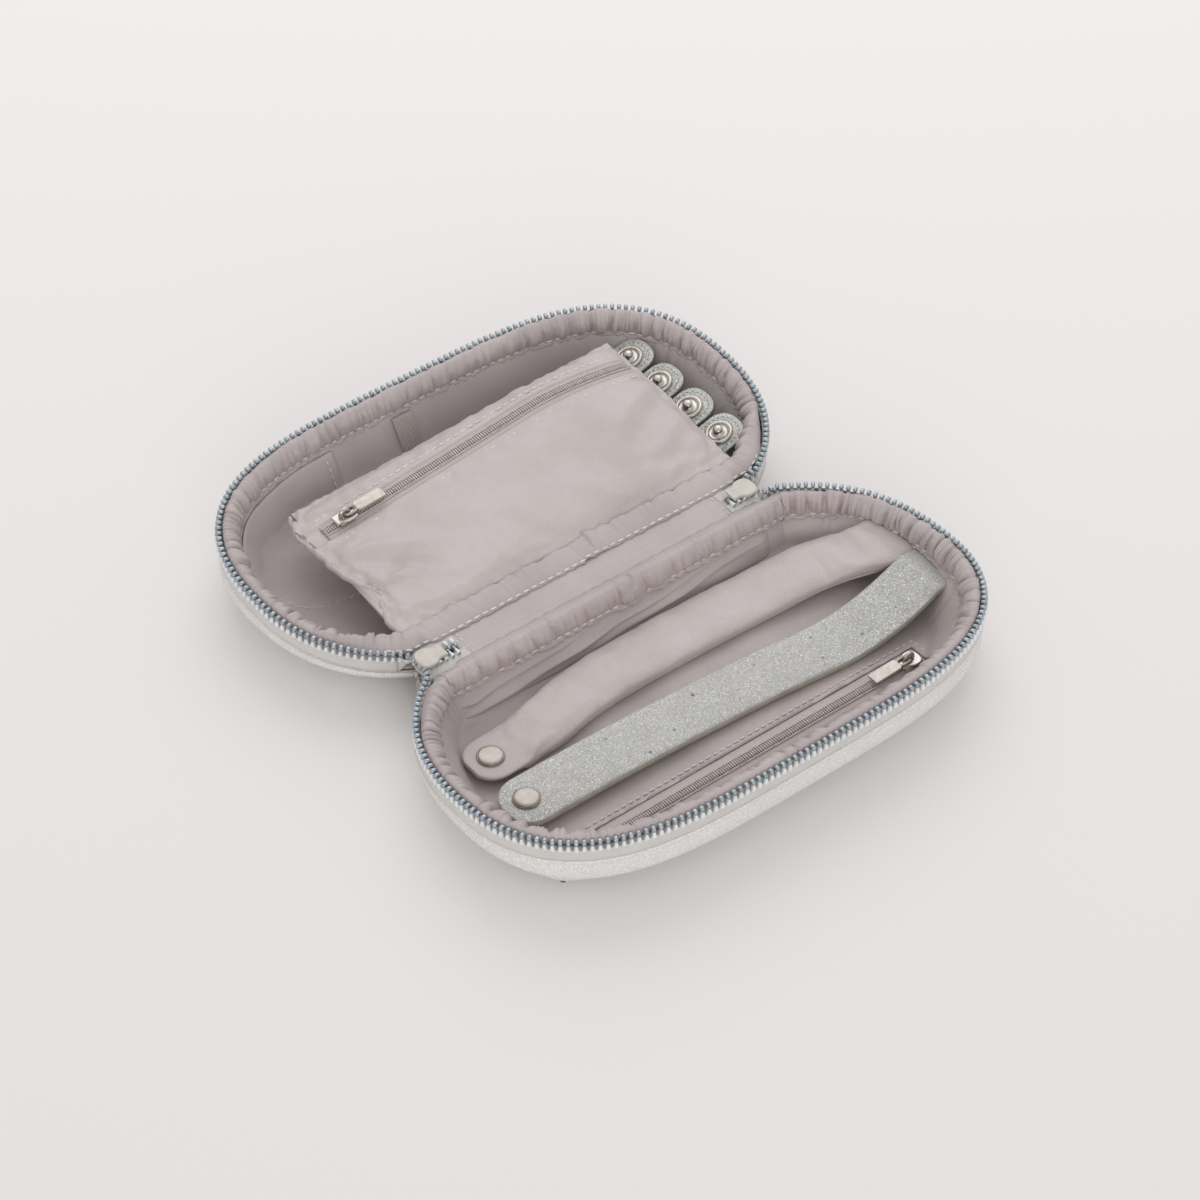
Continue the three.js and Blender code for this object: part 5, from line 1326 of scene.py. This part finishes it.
def pouch_zip():
    xs = np.linspace(POUCH_LEFT + 3.5, POUCH_RIGHT - 3.5, 120)
    z = pouch_top(xs, POUCH_ZIP_Y) + 0.45
    ys = np.array([-4.4, -3.2, -2.2, 2.2, 3.2, 4.4])
    lift = np.array([0.0, 0.25, 0.45, 0.45, 0.25, 0.0])
    rings = []
    for x, h in zip(xs, z):
        upper = columns(x, POUCH_ZIP_Y + ys, h + lift)
        rings.append(np.vstack([upper, upper[::-1] - [0, 0, 0.4]]))
    tape = ("pouch_zip_twill", rings, "pouch_zip_tape")
    line = columns(xs, POUCH_ZIP_Y, z + 1.1)
    coil_zip("pouch_coil", tape, line, "pouch", "pouch_zip_coil", "pouch_coil_cords")


pouch()
pouch_zip()


# Straps of the base
def route_through(places):
    """A smooth curve y(x) through a few chosen places."""
    places = np.asarray(places, float)
    slopes = np.gradient(places[:, 1], places[:, 0])

    def y_at(x):
        x = np.asarray(x, float)
        k = np.clip(np.searchsorted(places[:, 0], x) - 1, 0, len(places) - 2)
        h = places[k + 1, 0] - places[k, 0]
        t = (x - places[k, 0]) / h
        a = (1 + 2 * t) * (1 - t) ** 2 * places[k, 1] + t * (1 - t) ** 2 * h * slopes[k]
        b = t * t * (3 - 2 * t) * places[k + 1, 1] + t * t * (t - 1) * h * slopes[k + 1]
        return a + b

    return y_at


roll_low, roll_high = node_box("ring_roll")
ROLL_LEFT, ROLL_RIGHT = roll_low[0], roll_high[0]
STRAP_Z = node_box("earring_strip")[0][2]
ROLL_TAB_HALF = 9.8
ROLL_HALF = 11.2
ROLL_THICK = 5.9
ROLL_SIDES = 76
ROLL_LET_OUT = 0.04
ROLL_CAP = 0.9
ROLL_BED = FLOOR_Z + 0.3
ROLL_END_Z = RIM_HEIGHT - 9.8
ROLL_Y = route_through([
    (ROLL_LEFT - 4, -39), (ROLL_LEFT + 12, -38.8), (-58, -37.4), (-35, -33.2), (5, -31.8), (45, -33.2),
    (75, -38.5), (ROLL_RIGHT, -44.5), (ROLL_RIGHT + 8, -47),
])
ROLL_BED_Z = route_through([
    (ROLL_LEFT, ROLL_BED), (-40, ROLL_BED), (0, ROLL_BED), (42, ROLL_BED), (64, 8.0), (80, 10.8),
    (ROLL_RIGHT, 13.4), (ROLL_RIGHT + 8, ROLL_END_Z),
])


def strap_frame(route, x, end_x):
    square = float(smooth(x, end_x - 30, end_x))
    rise = (route(x + 1) - route(x - 1)) * (1 - square)
    size = math.hypot(2, rise)
    return -rise / size, 2 / size


def wall_x(y, z):
    """Where the lining's right wall lies at each y and height z of the base."""
    inset = wall_inset(np.full(rim.count, float(z)))
    px, py = rim.x + rim.nx * inset, -(rim.s + rim.ns * inset)
    right = np.flatnonzero(px > 50)
    right = right[np.argsort(py[right])]
    return np.interp(y, py[right], px[right])


def sewn_stretch(ring, steps):
    """Copies of a strap's last ring that run on to the wall, where it is sewn in."""
    goal = np.array([wall_x(y, z) for _, y, z in ring]) + 0.3
    rings = []
    for t in np.linspace(0, 1, steps + 1)[1:]:
        copy = ring.copy()
        copy[:, 0] = lerp(ring[:, 0], goal, t)
        rings.append(copy)
    return rings


def roll_rings():
    xs = np.concatenate([
        ROLL_LEFT + 0.4 + 9.4 * (1 - np.cos(np.linspace(0.25, math.pi / 2, 12))),
        np.linspace(ROLL_LEFT + 10.5, ROLL_LEFT + 34, 30), np.linspace(ROLL_LEFT + 35.2, ROLL_RIGHT, 120),
    ])
    c, n = circle(ROLL_SIDES)
    seam = np.exp(-((angles(ROLL_SIDES) - math.pi - 0.3) / 0.1) ** 2)
    rings = []
    for x in xs:
        tip = np.clip((x - ROLL_LEFT) / ROLL_TAB_HALF, 0, 1)
        round_tip = math.sqrt(max(1 - (1 - tip) ** 2.4, 0.02))
        puff = float(smooth(x, ROLL_LEFT + 12.5, ROLL_LEFT + 36))
        fade = float(smooth(x, 58, ROLL_RIGHT))
        half = lerp(ROLL_TAB_HALF * round_tip, ROLL_HALF, puff)
        bed = float(ROLL_BED_Z(x))
        low = lerp(STRAP_Z, bed, float(smooth(x, ROLL_LEFT + 12, ROLL_LEFT + 19)))
        high = lerp(STRAP_Z + 1.9, bed + lerp(ROLL_THICK, 5.2, fade), puff)
        nx, ny = strap_frame(ROLL_Y, x, ROLL_RIGHT)
        shrink = 1 - 0.11 * seam * puff
        across = half * powered(c, lerp(0.35, lerp(0.42, 0.3, fade), puff)) * shrink
        tall = (high - low) / 2 * powered(n, lerp(0.5, 0.62, puff)) * shrink
        rings.append(columns(x + nx * across, ROLL_Y(x) + ny * across, (low + high) / 2 + tall))
    rings += sewn_stretch(rings[-1], 8)
    return np.array(rings)


ROLL_FOLDS = [
    ((-66, -44), (-52, -26), 1.7, -0.7), ((-62, -25), (-50, -42), 1.5, 0.5),
    ((-45, -40), (-38, -24), 2.2, -0.35), ((-20, -42), (-12, -22), 2.6, 0.35),
    ((14, -44), (20, -22), 2.4, -0.35), ((38, -44), (46, -24), 2.2, -0.4), ((60, -46), (60, -28), 2.0, 0.7),
    ((66, -48), (69, -30), 1.6, -0.9), ((74, -50), (76, -32), 2.0, 0.5),
]


def ring_roll():
    rings = roll_rings()
    flat = rings.reshape(-1, 3)
    upper = smooth(rings[:, :, 2] - rings[:, :, 2].mean(axis=1)[:, None], -1, 2.5)
    soft = hills(flat, 0.11, 31).reshape(rings.shape[:2]) * 0.5
    wrinkle = fold_lines(rings[:, :, 0], rings[:, :, 1], ROLL_FOLDS)
    puffed = smooth(rings[:, :, 0], ROLL_LEFT + 14, ROLL_LEFT + 24)
    held = 1 - puffed * (1 - smooth(rings[:, :, 0], ROLL_RIGHT - 6, ROLL_RIGHT + 1))
    rings = rings + cloth_moves(rings, held, ROLL_LET_OUT, ROLL_CAP)
    rings[:, :, 2] += (soft + wrinkle) * upper * lerp(0.25, 1, puffed)
    cloth = piece("ring_roll_satin", *lofted(rings), SATIN_PAINTED_LIGHT)
    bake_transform(cloth)
    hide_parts("ring_roll", "ring_roll_anchor")


strip_low, strip_high = node_box("earring_strip")
STRIP_LEFT, STRIP_RIGHT = strip_low[0], strip_high[0]
STRIP_HALF = 10.6
STRIP_BODY = 3 - 0.35
STRIP_END_Z = RIM_HEIGHT - 8.6
STRIP_Y = route_through([
    (STRIP_LEFT - 4, -62.2), (-40, -62.2), (-10, -62.6), (20, -63.6), (53, -66.2), (72, -66.6),
    (STRIP_RIGHT, -65.6), (STRIP_RIGHT + 8, -64.8),
])
STRIP_Z = route_through([
    (STRIP_LEFT - 4, STRAP_Z), (-60, STRAP_Z), (-30, 7.5), (0, 6.4), (30, 5.9), (58, 6.4), (70, 8.7),
    (80, 11.6), (STRIP_RIGHT, STRIP_END_Z), (STRIP_RIGHT + 8, STRIP_END_Z + 3),
])


# Section of the strip as shares of its half width and thickness, and the places on it that are painted edge
STRIP_SECTION = [
    (-1, 0.1), (-1, 0.86), (-0.985, 0.96), (-0.955, 1.02), (-0.86, 1.06), (-0.5, 1.1), (0, 1.12),
    (0.5, 1.1), (0.86, 1.06), (0.955, 1.02), (0.985, 0.96), (1, 0.86), (1, 0.1), (0.97, 0), (0.5, 0),
    (-0.5, 0), (-0.97, 0),
]
STRIP_EDGE = {0, 1, 2, 9, 10, 11, 12, 13, 14, 15, 16}
# x and y of the holes: half of them near places seen in the photograph, the rest filled in between
PIN_HOLES = [
    (-66.7, -66.3), (-58.0, -57.4), (-51.0, -66.5), (-40.5, -56.6), (-32.5, -70.2), (-19.6, -66.8),
    (-4.0, -57.3), (7.5, -68.4), (22.0, -58.6), (43.1, -70.2), (46.0, -60.2), (60.6, -70.4),
    (76.0, -70.2), (79.0, -60.8),
]


def earring_strip():
    xs = np.concatenate([STRIP_LEFT + STRIP_HALF * (1 - np.cos(np.linspace(0.12, math.pi / 2, 14))),
                         np.linspace(STRIP_LEFT + STRIP_HALF + 1.2, STRIP_RIGHT, 150)])
    across, up = np.transpose(STRIP_SECTION)
    rings = []
    for x in xs:
        tip = np.clip((x - STRIP_LEFT) / STRIP_HALF, 0, 1)
        half = STRIP_HALF * math.sqrt(max(1 - (1 - tip) ** 2.3, 0.01))
        nx, ny = strap_frame(STRIP_Y, x, STRIP_RIGHT)
        place = (x + nx * across * half, STRIP_Y(x) + ny * across * half)
        rings.append(columns(*place, STRIP_Z(x) + up * STRIP_BODY))
    rings = np.array(rings + sewn_stretch(rings[-1], 6))
    soft = hills(rings.reshape(-1, 3), 0.07, 41).reshape(rings.shape[:2]) * 0.35
    rings[:, :, 2] += np.where(up > 1, soft, 0)
    strap = piece("earring_strip_leather", *lofted(rings), STRAP_SKIN)
    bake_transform(strap)
    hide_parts("earring_strip", "earring_strip_anchor")
    count = len(STRIP_SECTION)

    def at_edge(polygon):
        places = {v % count for v in polygon.vertices if v < len(rings) * count}
        return bool(places) and (places <= STRIP_EDGE or {0, 1} <= places or {11, 12} <= places)

    paint_second(strap, EDGE_PAINT, at_edge)
    hole = turned([(0, -0.25), (0.42, -0.25), (0.5, 0.02), (0.28, 0.03), (0, -0.12)], 12)
    pins = [shifted(hole, [x, y, float(STRIP_Z(x)) + STRIP_BODY * 1.11 + 0.1]) for x, y in PIN_HOLES]
    piece("earring_strip_pin_holes", *joined(pins), PIN_SHADE, "earring_strip", "strap_leather")


# Small eyelet in the point of the base's left front dart, dark with painted shade of the hole
EYELET_Z = 4.2
EYELET = [(0, -0.4), (0.75, -0.4), (0.95, 0.1), (0.8, 0.3), (0.5, 0.2), (0.35, -0.2), (0, -0.25)]


def dart_eyelet():
    corner = int(np.argmax(np.where((rim.x < 0) & (rim.s > RIM_WIDEST), rim.corner_share, 0)))
    foot = SHELL_FOOT_INSET - CORNER_FILL - DART_POINT
    inset = foot * (1 - EYELET_Z / FOOT_ROUND) ** FOOT_SLANT
    place = rim.at(inset + 0.25, EYELET_Z, SIDES["base"])[corner]
    out = np.array([-rim.nx[corner], rim.ns[corner], -0.6])
    ring = placed(turned(EYELET, 20), place, UP - out * out[2] / (out @ out), out)
    piece("base_dart_eyelet", *ring, DART_SHADE, "root", "nickel")


dart_eyelet()


# Snap caps: a low dome in a thin rim of darker metal, painted shade round the cap's edge
CAP_RADIUS = 4.45
CAP_RISE = 1.3
CAP_RIM = [(0, 0), (4.75, 0), (4.85, 0.2), (4.7, 0.42), (4.35, 0.48), (4.2, 0.3), (0, 0.28)]


def snap_cap(name, node, body):
    low, high = node_box(node)
    place = np.array([*(low + high)[:2] / 2, low[2]])
    dome = [(CAP_RADIUS * math.sin(a), CAP_RISE - 1 + math.cos(a) ** 0.5)
            for a in np.linspace(math.pi / 2, 0.05, 16)]
    cap = turned([(0, 0), *dome, (0, CAP_RISE)], 56)
    piece(name, *shifted(cap, place - [0, 0, 0.05]), CAP_METAL, body, "nickel", [node])
    piece(f"{name}_rim", *shifted(turned(CAP_RIM, 56), place - [0, 0, 0.12]), SNAP_RIM_SHADE, body, "nickel")


ring_roll()
earring_strip()
snap_cap("ring_cap", "ring_snap_cap", "ring_roll")
snap_cap("strip_cap", "strip_snap_cap", "earring_strip")


def sewn_end(name, node, material):
    """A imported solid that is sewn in, with its edges rounded."""
    mesh = frame["nodes"][node].data.copy()
    obj = bpy.data.objects.new(name, mesh)
    bpy.context.scene.collection.objects.link(obj)
    mesh.materials.clear()
    mesh.materials.append(material)
    soft = obj.modifiers.new("edges", "BEVEL")
    soft.width, soft.segments, soft.limit_method = 0.0006, 3, "ANGLE"
    bake(obj)
    obj.data.shade_smooth()
    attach(obj, "root")
    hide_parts(node)


# Floor pocket of the base: tape, coil, stitched window and the bag under the lining
WINDOW_MARGIN = 2.4
FLOOR_COIL_Z = 5.75


def floor_pocket_zip():
    low, high = tape_low, tape_high
    middle = (low[1] + high[1]) / 2
    ys = np.array([low[1], middle - 2.6, middle - 1.9, middle + 1.9, middle + 2.6, high[1]])
    zs = np.array([4.75, 4.95, 5.1, 5.1, 4.95, 4.75])
    rings = []
    for x in np.linspace(low[0], high[0], 60):
        upper = columns(x, ys, zs)
        rings.append(np.vstack([upper, upper[::-1] - [0, 0, 0.45]]))
    line = columns(np.linspace(low[0] + 1, high[0] - 1, 60), middle, FLOOR_COIL_Z)
    tape = ("floor_pocket_twill", rings, "floor_pocket_tape")
    coil_zip("floor_pocket_coil_teeth", tape, line, "root", "floor_pocket_coil", "floor_pocket_coil_cords")
    x0, x1 = low[0] - WINDOW_MARGIN, high[0] + WINDOW_MARGIN
    y0, y1 = low[1] - WINDOW_MARGIN, high[1] + WINDOW_MARGIN
    corners = np.array([(x, y, FLOOR_Z + 0.1) for x, y in ((x0, y1), (x1, y1), (x1, y0), (x0, y0), (x0, y1))])
    loop = [lerp(a, b, t) for a, b in zip(corners, corners[1:]) for t in np.linspace(0, 1, 30)]
    stitches("floor_pocket_stitches", loop, UP, "root", pitch=3.0, lift=0.18)


def floor_pocket_bag():
    box_low, box_high = node_box("floor_pocket_bag")
    grid = []
    for x in np.linspace(box_low[0], box_high[0], 60):
        upper = columns(x, np.linspace(box_low[1], box_high[1], 30), box_high[2])
        upper[:, 2] -= 0.12 + 0.1 * hills(upper, 0.1, 51)
        lower = upper[::-1].copy()
        lower[:, 2] = box_low[2] + 0.05
        grid.append(np.vstack([upper, lower]))
    bag = piece("floor_pocket_bag_satin", *lofted(grid), SATIN, "root", "satin", ["floor_pocket_bag"])


floor_pocket_zip()
floor_pocket_bag()


# Necklace straps: sheet under the pouch, tabs with edges and stitch holes painted dark as painted shade, and
# studs
TAB_SLOPE = math.radians(18)
tab_axis = np.array([math.cos(TAB_SLOPE), 0, math.sin(TAB_SLOPE)])
tab_up = np.array([-math.sin(TAB_SLOPE), 0, math.cos(TAB_SLOPE)])
TAB_THICK = 2.2
TAB_HALF = 8.2
TAB_LENGTH = 15.6
# Inset from the outline and height, from the underside up
TAB_LAYERS = [(2.2, -TAB_THICK + 0.02), (0.3, -TAB_THICK), (0.0, -TAB_THICK + 0.3), (0.0, -0.5), (0.25, -0.2),
              (0.7, -0.05), (2.0, 0.05), (4.5, 0.08)]
STUD_PROFILE = [(0, 0.3), (4.9, 0.3), (5.2, 0.6), (5.05, 1.05), (4.5, 1.3), (3.9, 1.1), (3.3, 0.75),
                (2.4, 0.75), (2.1, 1.0), (1.35, 1.15), (1.2, 2.0), (1.75, 2.6), (1.7, 3.2), (1.0, 3.55),
                (0, 3.6)]
BEAD_CIRCLE = 3.7


def tab_plan(inset=0.0):
    half, length = TAB_HALF - inset, TAB_LENGTH - inset
    bend = length - half
    arc = np.linspace(-math.pi / 2, math.pi / 2, 30)
    tip = columns(bend + half * powered(np.cos(arc), 0.8), half * powered(np.sin(arc), 0.8))
    back = 0.4 + inset
    left = [(back, y) for y in np.linspace(half, -half, 14)]
    lower = [(x, -half) for x in np.linspace(back, bend, 6)[1:-1]]
    upper = [(x, half) for x in np.linspace(bend, back, 6)[1:-1]]
    return np.vstack([tip, upper, left, lower])


def necklace_tab(i):
    origin = joint_place[f"necklace_tab_{i}_lift"]
    put = frame_axes(origin, tab_axis, tab_up)
    rings = [columns(*tab_plan(inset).T, z) for inset, z in TAB_LAYERS]
    points, faces = lofted(rings)
    body = f"necklace_tab_{i}"
    tab = piece(f"necklace_tab_{i}_leather", put(points), faces, STRAP_SKIN, body, "strap_leather", [body])
    # The edges all round the tab are painted dark: painted shade.
    edge_rows = {0, 1, 2, 3, 4}
    paint_second(tab, TAB_EDGE_SHADE, lambda polygon: {v // len(rings[0]) for v in polygon.vertices} <= edge_rows)
    plan = tab_plan(2.0)
    keep = plan[plan[:, 0] > 1.5]
    order = np.argsort(np.arctan2(keep[:, 1], keep[:, 0] - 4))
    path = columns(*keep[order].T, 0.06)
    # Dark dashes stand for the stitch holes: painted shade.
    stitches(f"necklace_tab_{i}_holes", put(path), tab_up, body, pitch=1.9, size=0.5, lift=0.02,
             material=STITCH_HOLE_SHADE)
    bead = turned([(0, -0.3), (0.26, -0.15), (0.32, 0.05), (0.2, 0.25), (0, 0.3)], 8)
    beads = [shifted(bead, [BEAD_CIRCLE * math.cos(a), BEAD_CIRCLE * math.sin(a), 1.2]) for a in angles(30)]
    points, faces = joined([turned(STUD_PROFILE, 48), *beads])
    stud = put(points * [1, 1, 0.95] + [6.6, 0, 0])
    piece(f"necklace_stud_{i}_nickel", stud, faces, NICKEL, body, "nickel", [f"necklace_stud_{i}"])


for i in range(1, 5):
    necklace_tab(i)
sewn_end("necklace_strap_sheet", "necklace_strap_root", STRAP_SKIN)
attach(bpy.data.objects["necklace_strap_sheet"], "lid")


# Slack pocket on the base's spine-side wall: its long folds start low at the left and rise to the right
# Share of the height where a fold starts, its rise per 100 mm and its depth
DRAPES = [(0.1, 0.75, 1.3), (0.32, 0.8, -0.9), (0.55, 0.7, 1.2), (-0.3, 0.8, 1.0)]
SLIP_BOTTOM = FLOOR_Z + 0.3
SLIP_TOP = RIM_HEIGHT - 9.4
SLIP_LEAD = 5


def base_slip_pocket():
    low, high = node_box("base_slip_pocket")
    rings = []
    for x in np.linspace(low[0] - SLIP_LEAD, high[0], 190):
        full = float(smooth(x, low[0] - SLIP_LEAD, low[0] + 6) * (1 - smooth(x, high[0] - 9, high[0])))
        rows = []
        for t in np.linspace(0, 1, 18):
            z = lerp(SLIP_BOTTOM, SLIP_TOP, t)
            rise = (z - FLOOR_Z) / (RIM_HEIGHT - STITCH_DROP - FLOOR_Z)
            inset = lerp(WALL_INSET_SPINE, WALL_INSET_TOP, rise)
            bulge = math.sin(math.pi * min(1, t * 0.92 + 0.06)) ** 0.8
            folds = 1.5 * noise.noise(Vector((x * 0.045 + t * 1.2, 4, t * 2.1)))
            folds += 0.8 * math.sin(x * 0.11 + t * 4.2) * noise.noise(Vector((x * 0.03, 7, 1)))
            for start, climb, height in DRAPES:
                folds += height * math.exp(-((t - start - climb * (x - low[0]) / 100) / 0.1) ** 2)
            slack = lerp(-0.7, 0.35, full) + full * bulge * (1.1 + folds)
            rows.append((x, -(SHELL_BACK + inset + slack), z))
        front = np.array(rows)
        back = front[::-1] + [0, 0.6, 0]
        rings.append(np.vstack([front, back]))
    cloth = piece("base_slip_pocket_satin", *lofted(rings), SATIN, "root", "satin", ["base_slip_pocket"])


base_slip_pocket()


# Elastic loop and flat slip pocket in the lid
def elastic_loop():
    low, high = node_box("elastic_loop")
    up = np.linspace(0, 1, 16)
    rings = []
    for x in np.linspace(low[0], high[0], 34):
        thick = 0.55 + 0.14 * abs(math.sin((x - low[0]) * math.pi / 0.95))
        back = columns(x, lerp(low[1] + 0.5, high[1] - 0.3, up), lerp(low[2], high[2], up))
        rings.append(np.vstack([back - [0, thick, 0], back[::-1]]))
    piece("elastic_loop_rib", *lofted(rings), ELASTIC, "lid", "elastic", ["elastic_loop"])


def lid_slip_pocket():
    low, high = node_box("lid_slip_pocket")
    chosen = np.flatnonzero((rim.s > RIM_WIDEST + 6) & (rim.x < high[0] + 0.5))
    chosen = chosen[np.argsort(rim.u[chosen])]
    stitch = rim_z(rim.s) - STITCH_DROP
    rings = []
    for k in chosen:
        rows = []
        for t in np.linspace(0, 1, 12):
            z = lerp(FLOOR_Z + 0.7, stitch[k] - 1.0, t)
            inset = wall_inset(np.full(rim.count, z))[k] + 1.15 + 0.2 * math.sin(rim.u[k] * 0.2 + t)
            rows.append((rim.x[k] + rim.nx[k] * inset, rim.s[k] + rim.ns[k] * inset, z))
        front = np.array(rows)
        back = front[::-1] - np.array([rim.nx[k], rim.ns[k], 0]) * 0.6
        rings.append(np.vstack([front, back]))
    cloth = piece("lid_slip_pocket_satin", *lofted(rings), SATIN, "lid", "satin", ["lid_slip_pocket"])
    edge = rings[0] if rings[0][0][0] > rings[-1][0][0] else rings[-1]
    path = edge[:12] + [-3.4, -0.4, 0]
    stitches("lid_slip_pocket_stitches", path, (0.1, -1, 0.4), "lid", pitch=2.8)


elastic_loop()
lid_slip_pocket()

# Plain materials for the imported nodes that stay
SNAPS = [f"{strap}_snap_{part}" for strap in ("ring", "strip") for part in ("stud", "socket")]
SNAPS += [f"necklace_socket_{i}" for i in range(1, 5)]
for name in ["base_board", "lid_board"] + SNAPS:
    node = frame["nodes"][name]
    node.data.materials.clear()
    node.data.materials.append(NICKEL if name in SNAPS else BOARD)


# Curved seam on the lid's floor, left of the pouch
LID_SEAM_ROUTE = np.array([
    (-91, 67.5), (-88, 63.6), (-85, 59.8), (-80, 57), (-70, 55.4), (-60, 55), (-50, 55),
])


def lid_floor_seam():
    lining_mesh = bpy.data.objects["lid_lining_satin"].data
    tree = BVHTree.FromPolygons([v.co.copy() for v in lining_mesh.vertices],
                                [tuple(f.vertices) for f in lining_mesh.polygons])
    steps = np.arange(len(LID_SEAM_ROUTE))
    xs, ys = (np.interp(np.linspace(0, steps[-1], 60), steps, places) for places in LID_SEAM_ROUTE.T)
    path, ups = [], []
    for x, y in zip(xs, ys):
        hit, normal, _, _ = tree.ray_cast(Vector((x * MM, y * MM, 0.1)), Vector((0, 0, -1)))
        path.append(np.array(hit) / MM)
        ups.append(np.array(normal) * (1 if normal.z > 0 else -1))
    stitches("lid_floor_seam_stitches", path, ups, "lid", pitch=3.0, lift=0.15, size=0.9)


lid_floor_seam()


# Floor, light and camera
CAMERA_PLACE = Vector((-0.5697, -0.7229, 0.9079))
CAMERA_ANGLES = (-38.289, 44.370, 0.503)   # azimuth, elevation and roll in degrees
CAMERA_LENS = 110.92
WORLD_STRENGTH = 0.69
FLOOR_REACH = 6000
FLOOR_DROP = 0.05
# Name, place in metres, size in metres and power in watts
LAMPS = [
    ("key_lamp", (0.8, 1.05, 1.4), 1.9, 10.5),
    ("front_lamp", (-0.9, -1.4, 0.6), 1.2, 7),
]


def backdrop(name, near, far):
    """Matte paper painted with a falloff of light: darker near the viewer and paler away from it."""
    p = Paint(name, Roughness=1, Specular_IOR_Level=0)
    axes = p.node("ShaderNodeSeparateXYZ", {"Vector": p.place})
    parts = [p.math("MULTIPLY", axes.outputs[axis], share) for axis, share in (("X", 0.62), ("Y", 0.785))]
    depth = p.math("ADD", *parts)
    p.feed("Base Color", p.ramp(p.levels(depth, -0.6, 0.6, 0, 1), [(0, near), (1, far)]))
    p.feed("Normal", p.bump(p.noise(160, 3), 0.1, 0.2))
    return p.material


def studio():
    corners = [(x * FLOOR_REACH, y * FLOOR_REACH, -FLOOR_DROP)
               for x, y in ((-1, -1), (1, -1), (1, 1), (-1, 1))]
    paint = backdrop("studio_floor_paint", "E7E5E3", "FAF6F6")
    floor = piece("studio_floor", corners, [(0, 1, 2, 3)], paint, flat=True)
    world = bpy.data.worlds.new("studio")
    bpy.context.scene.world = world
    world.use_nodes = True
    sky = world.node_tree.nodes["Background"]
    sky.inputs["Color"].default_value = rgb("FFFFFF")
    sky.inputs["Strength"].default_value = WORLD_STRENGTH
    for name, place, size, power in LAMPS:
        data = bpy.data.lights.new(name, "AREA")
        data.shape = "DISK"
        data.size = size
        data.energy = power
        lamp = bpy.data.objects.new(name, data)
        bpy.context.scene.collection.objects.link(lamp)
        lamp.location = place
        lamp.rotation_mode = "QUATERNION"
        lamp.rotation_quaternion = (-Vector(place)).to_track_quat("-Z", "Y")


def camera():
    data = bpy.data.cameras.new("camera")
    data.sensor_width = 36
    data.lens = CAMERA_LENS
    data.clip_start, data.clip_end = 0.05, 20
    cam = bpy.data.objects.new("camera", data)
    bpy.context.scene.collection.objects.link(cam)
    azimuth, elevation, roll = (math.radians(a) for a in CAMERA_ANGLES)
    back = Vector((math.sin(azimuth) * math.cos(elevation), -math.cos(azimuth) * math.cos(elevation),
                   math.sin(elevation)))
    right = Vector((0, 0, 1)).cross(back).normalized()
    up = back.cross(right)
    turned_right = right * math.cos(roll) + up * math.sin(roll)
    turned_up = up * math.cos(roll) - right * math.sin(roll)
    axes = Matrix((turned_right, turned_up, back)).transposed().to_4x4()
    cam.matrix_world = Matrix.Translation(CAMERA_PLACE) @ axes
    bpy.context.scene.camera = cam


studio()
camera()
bpy.context.scene.view_settings.view_transform = "Standard"
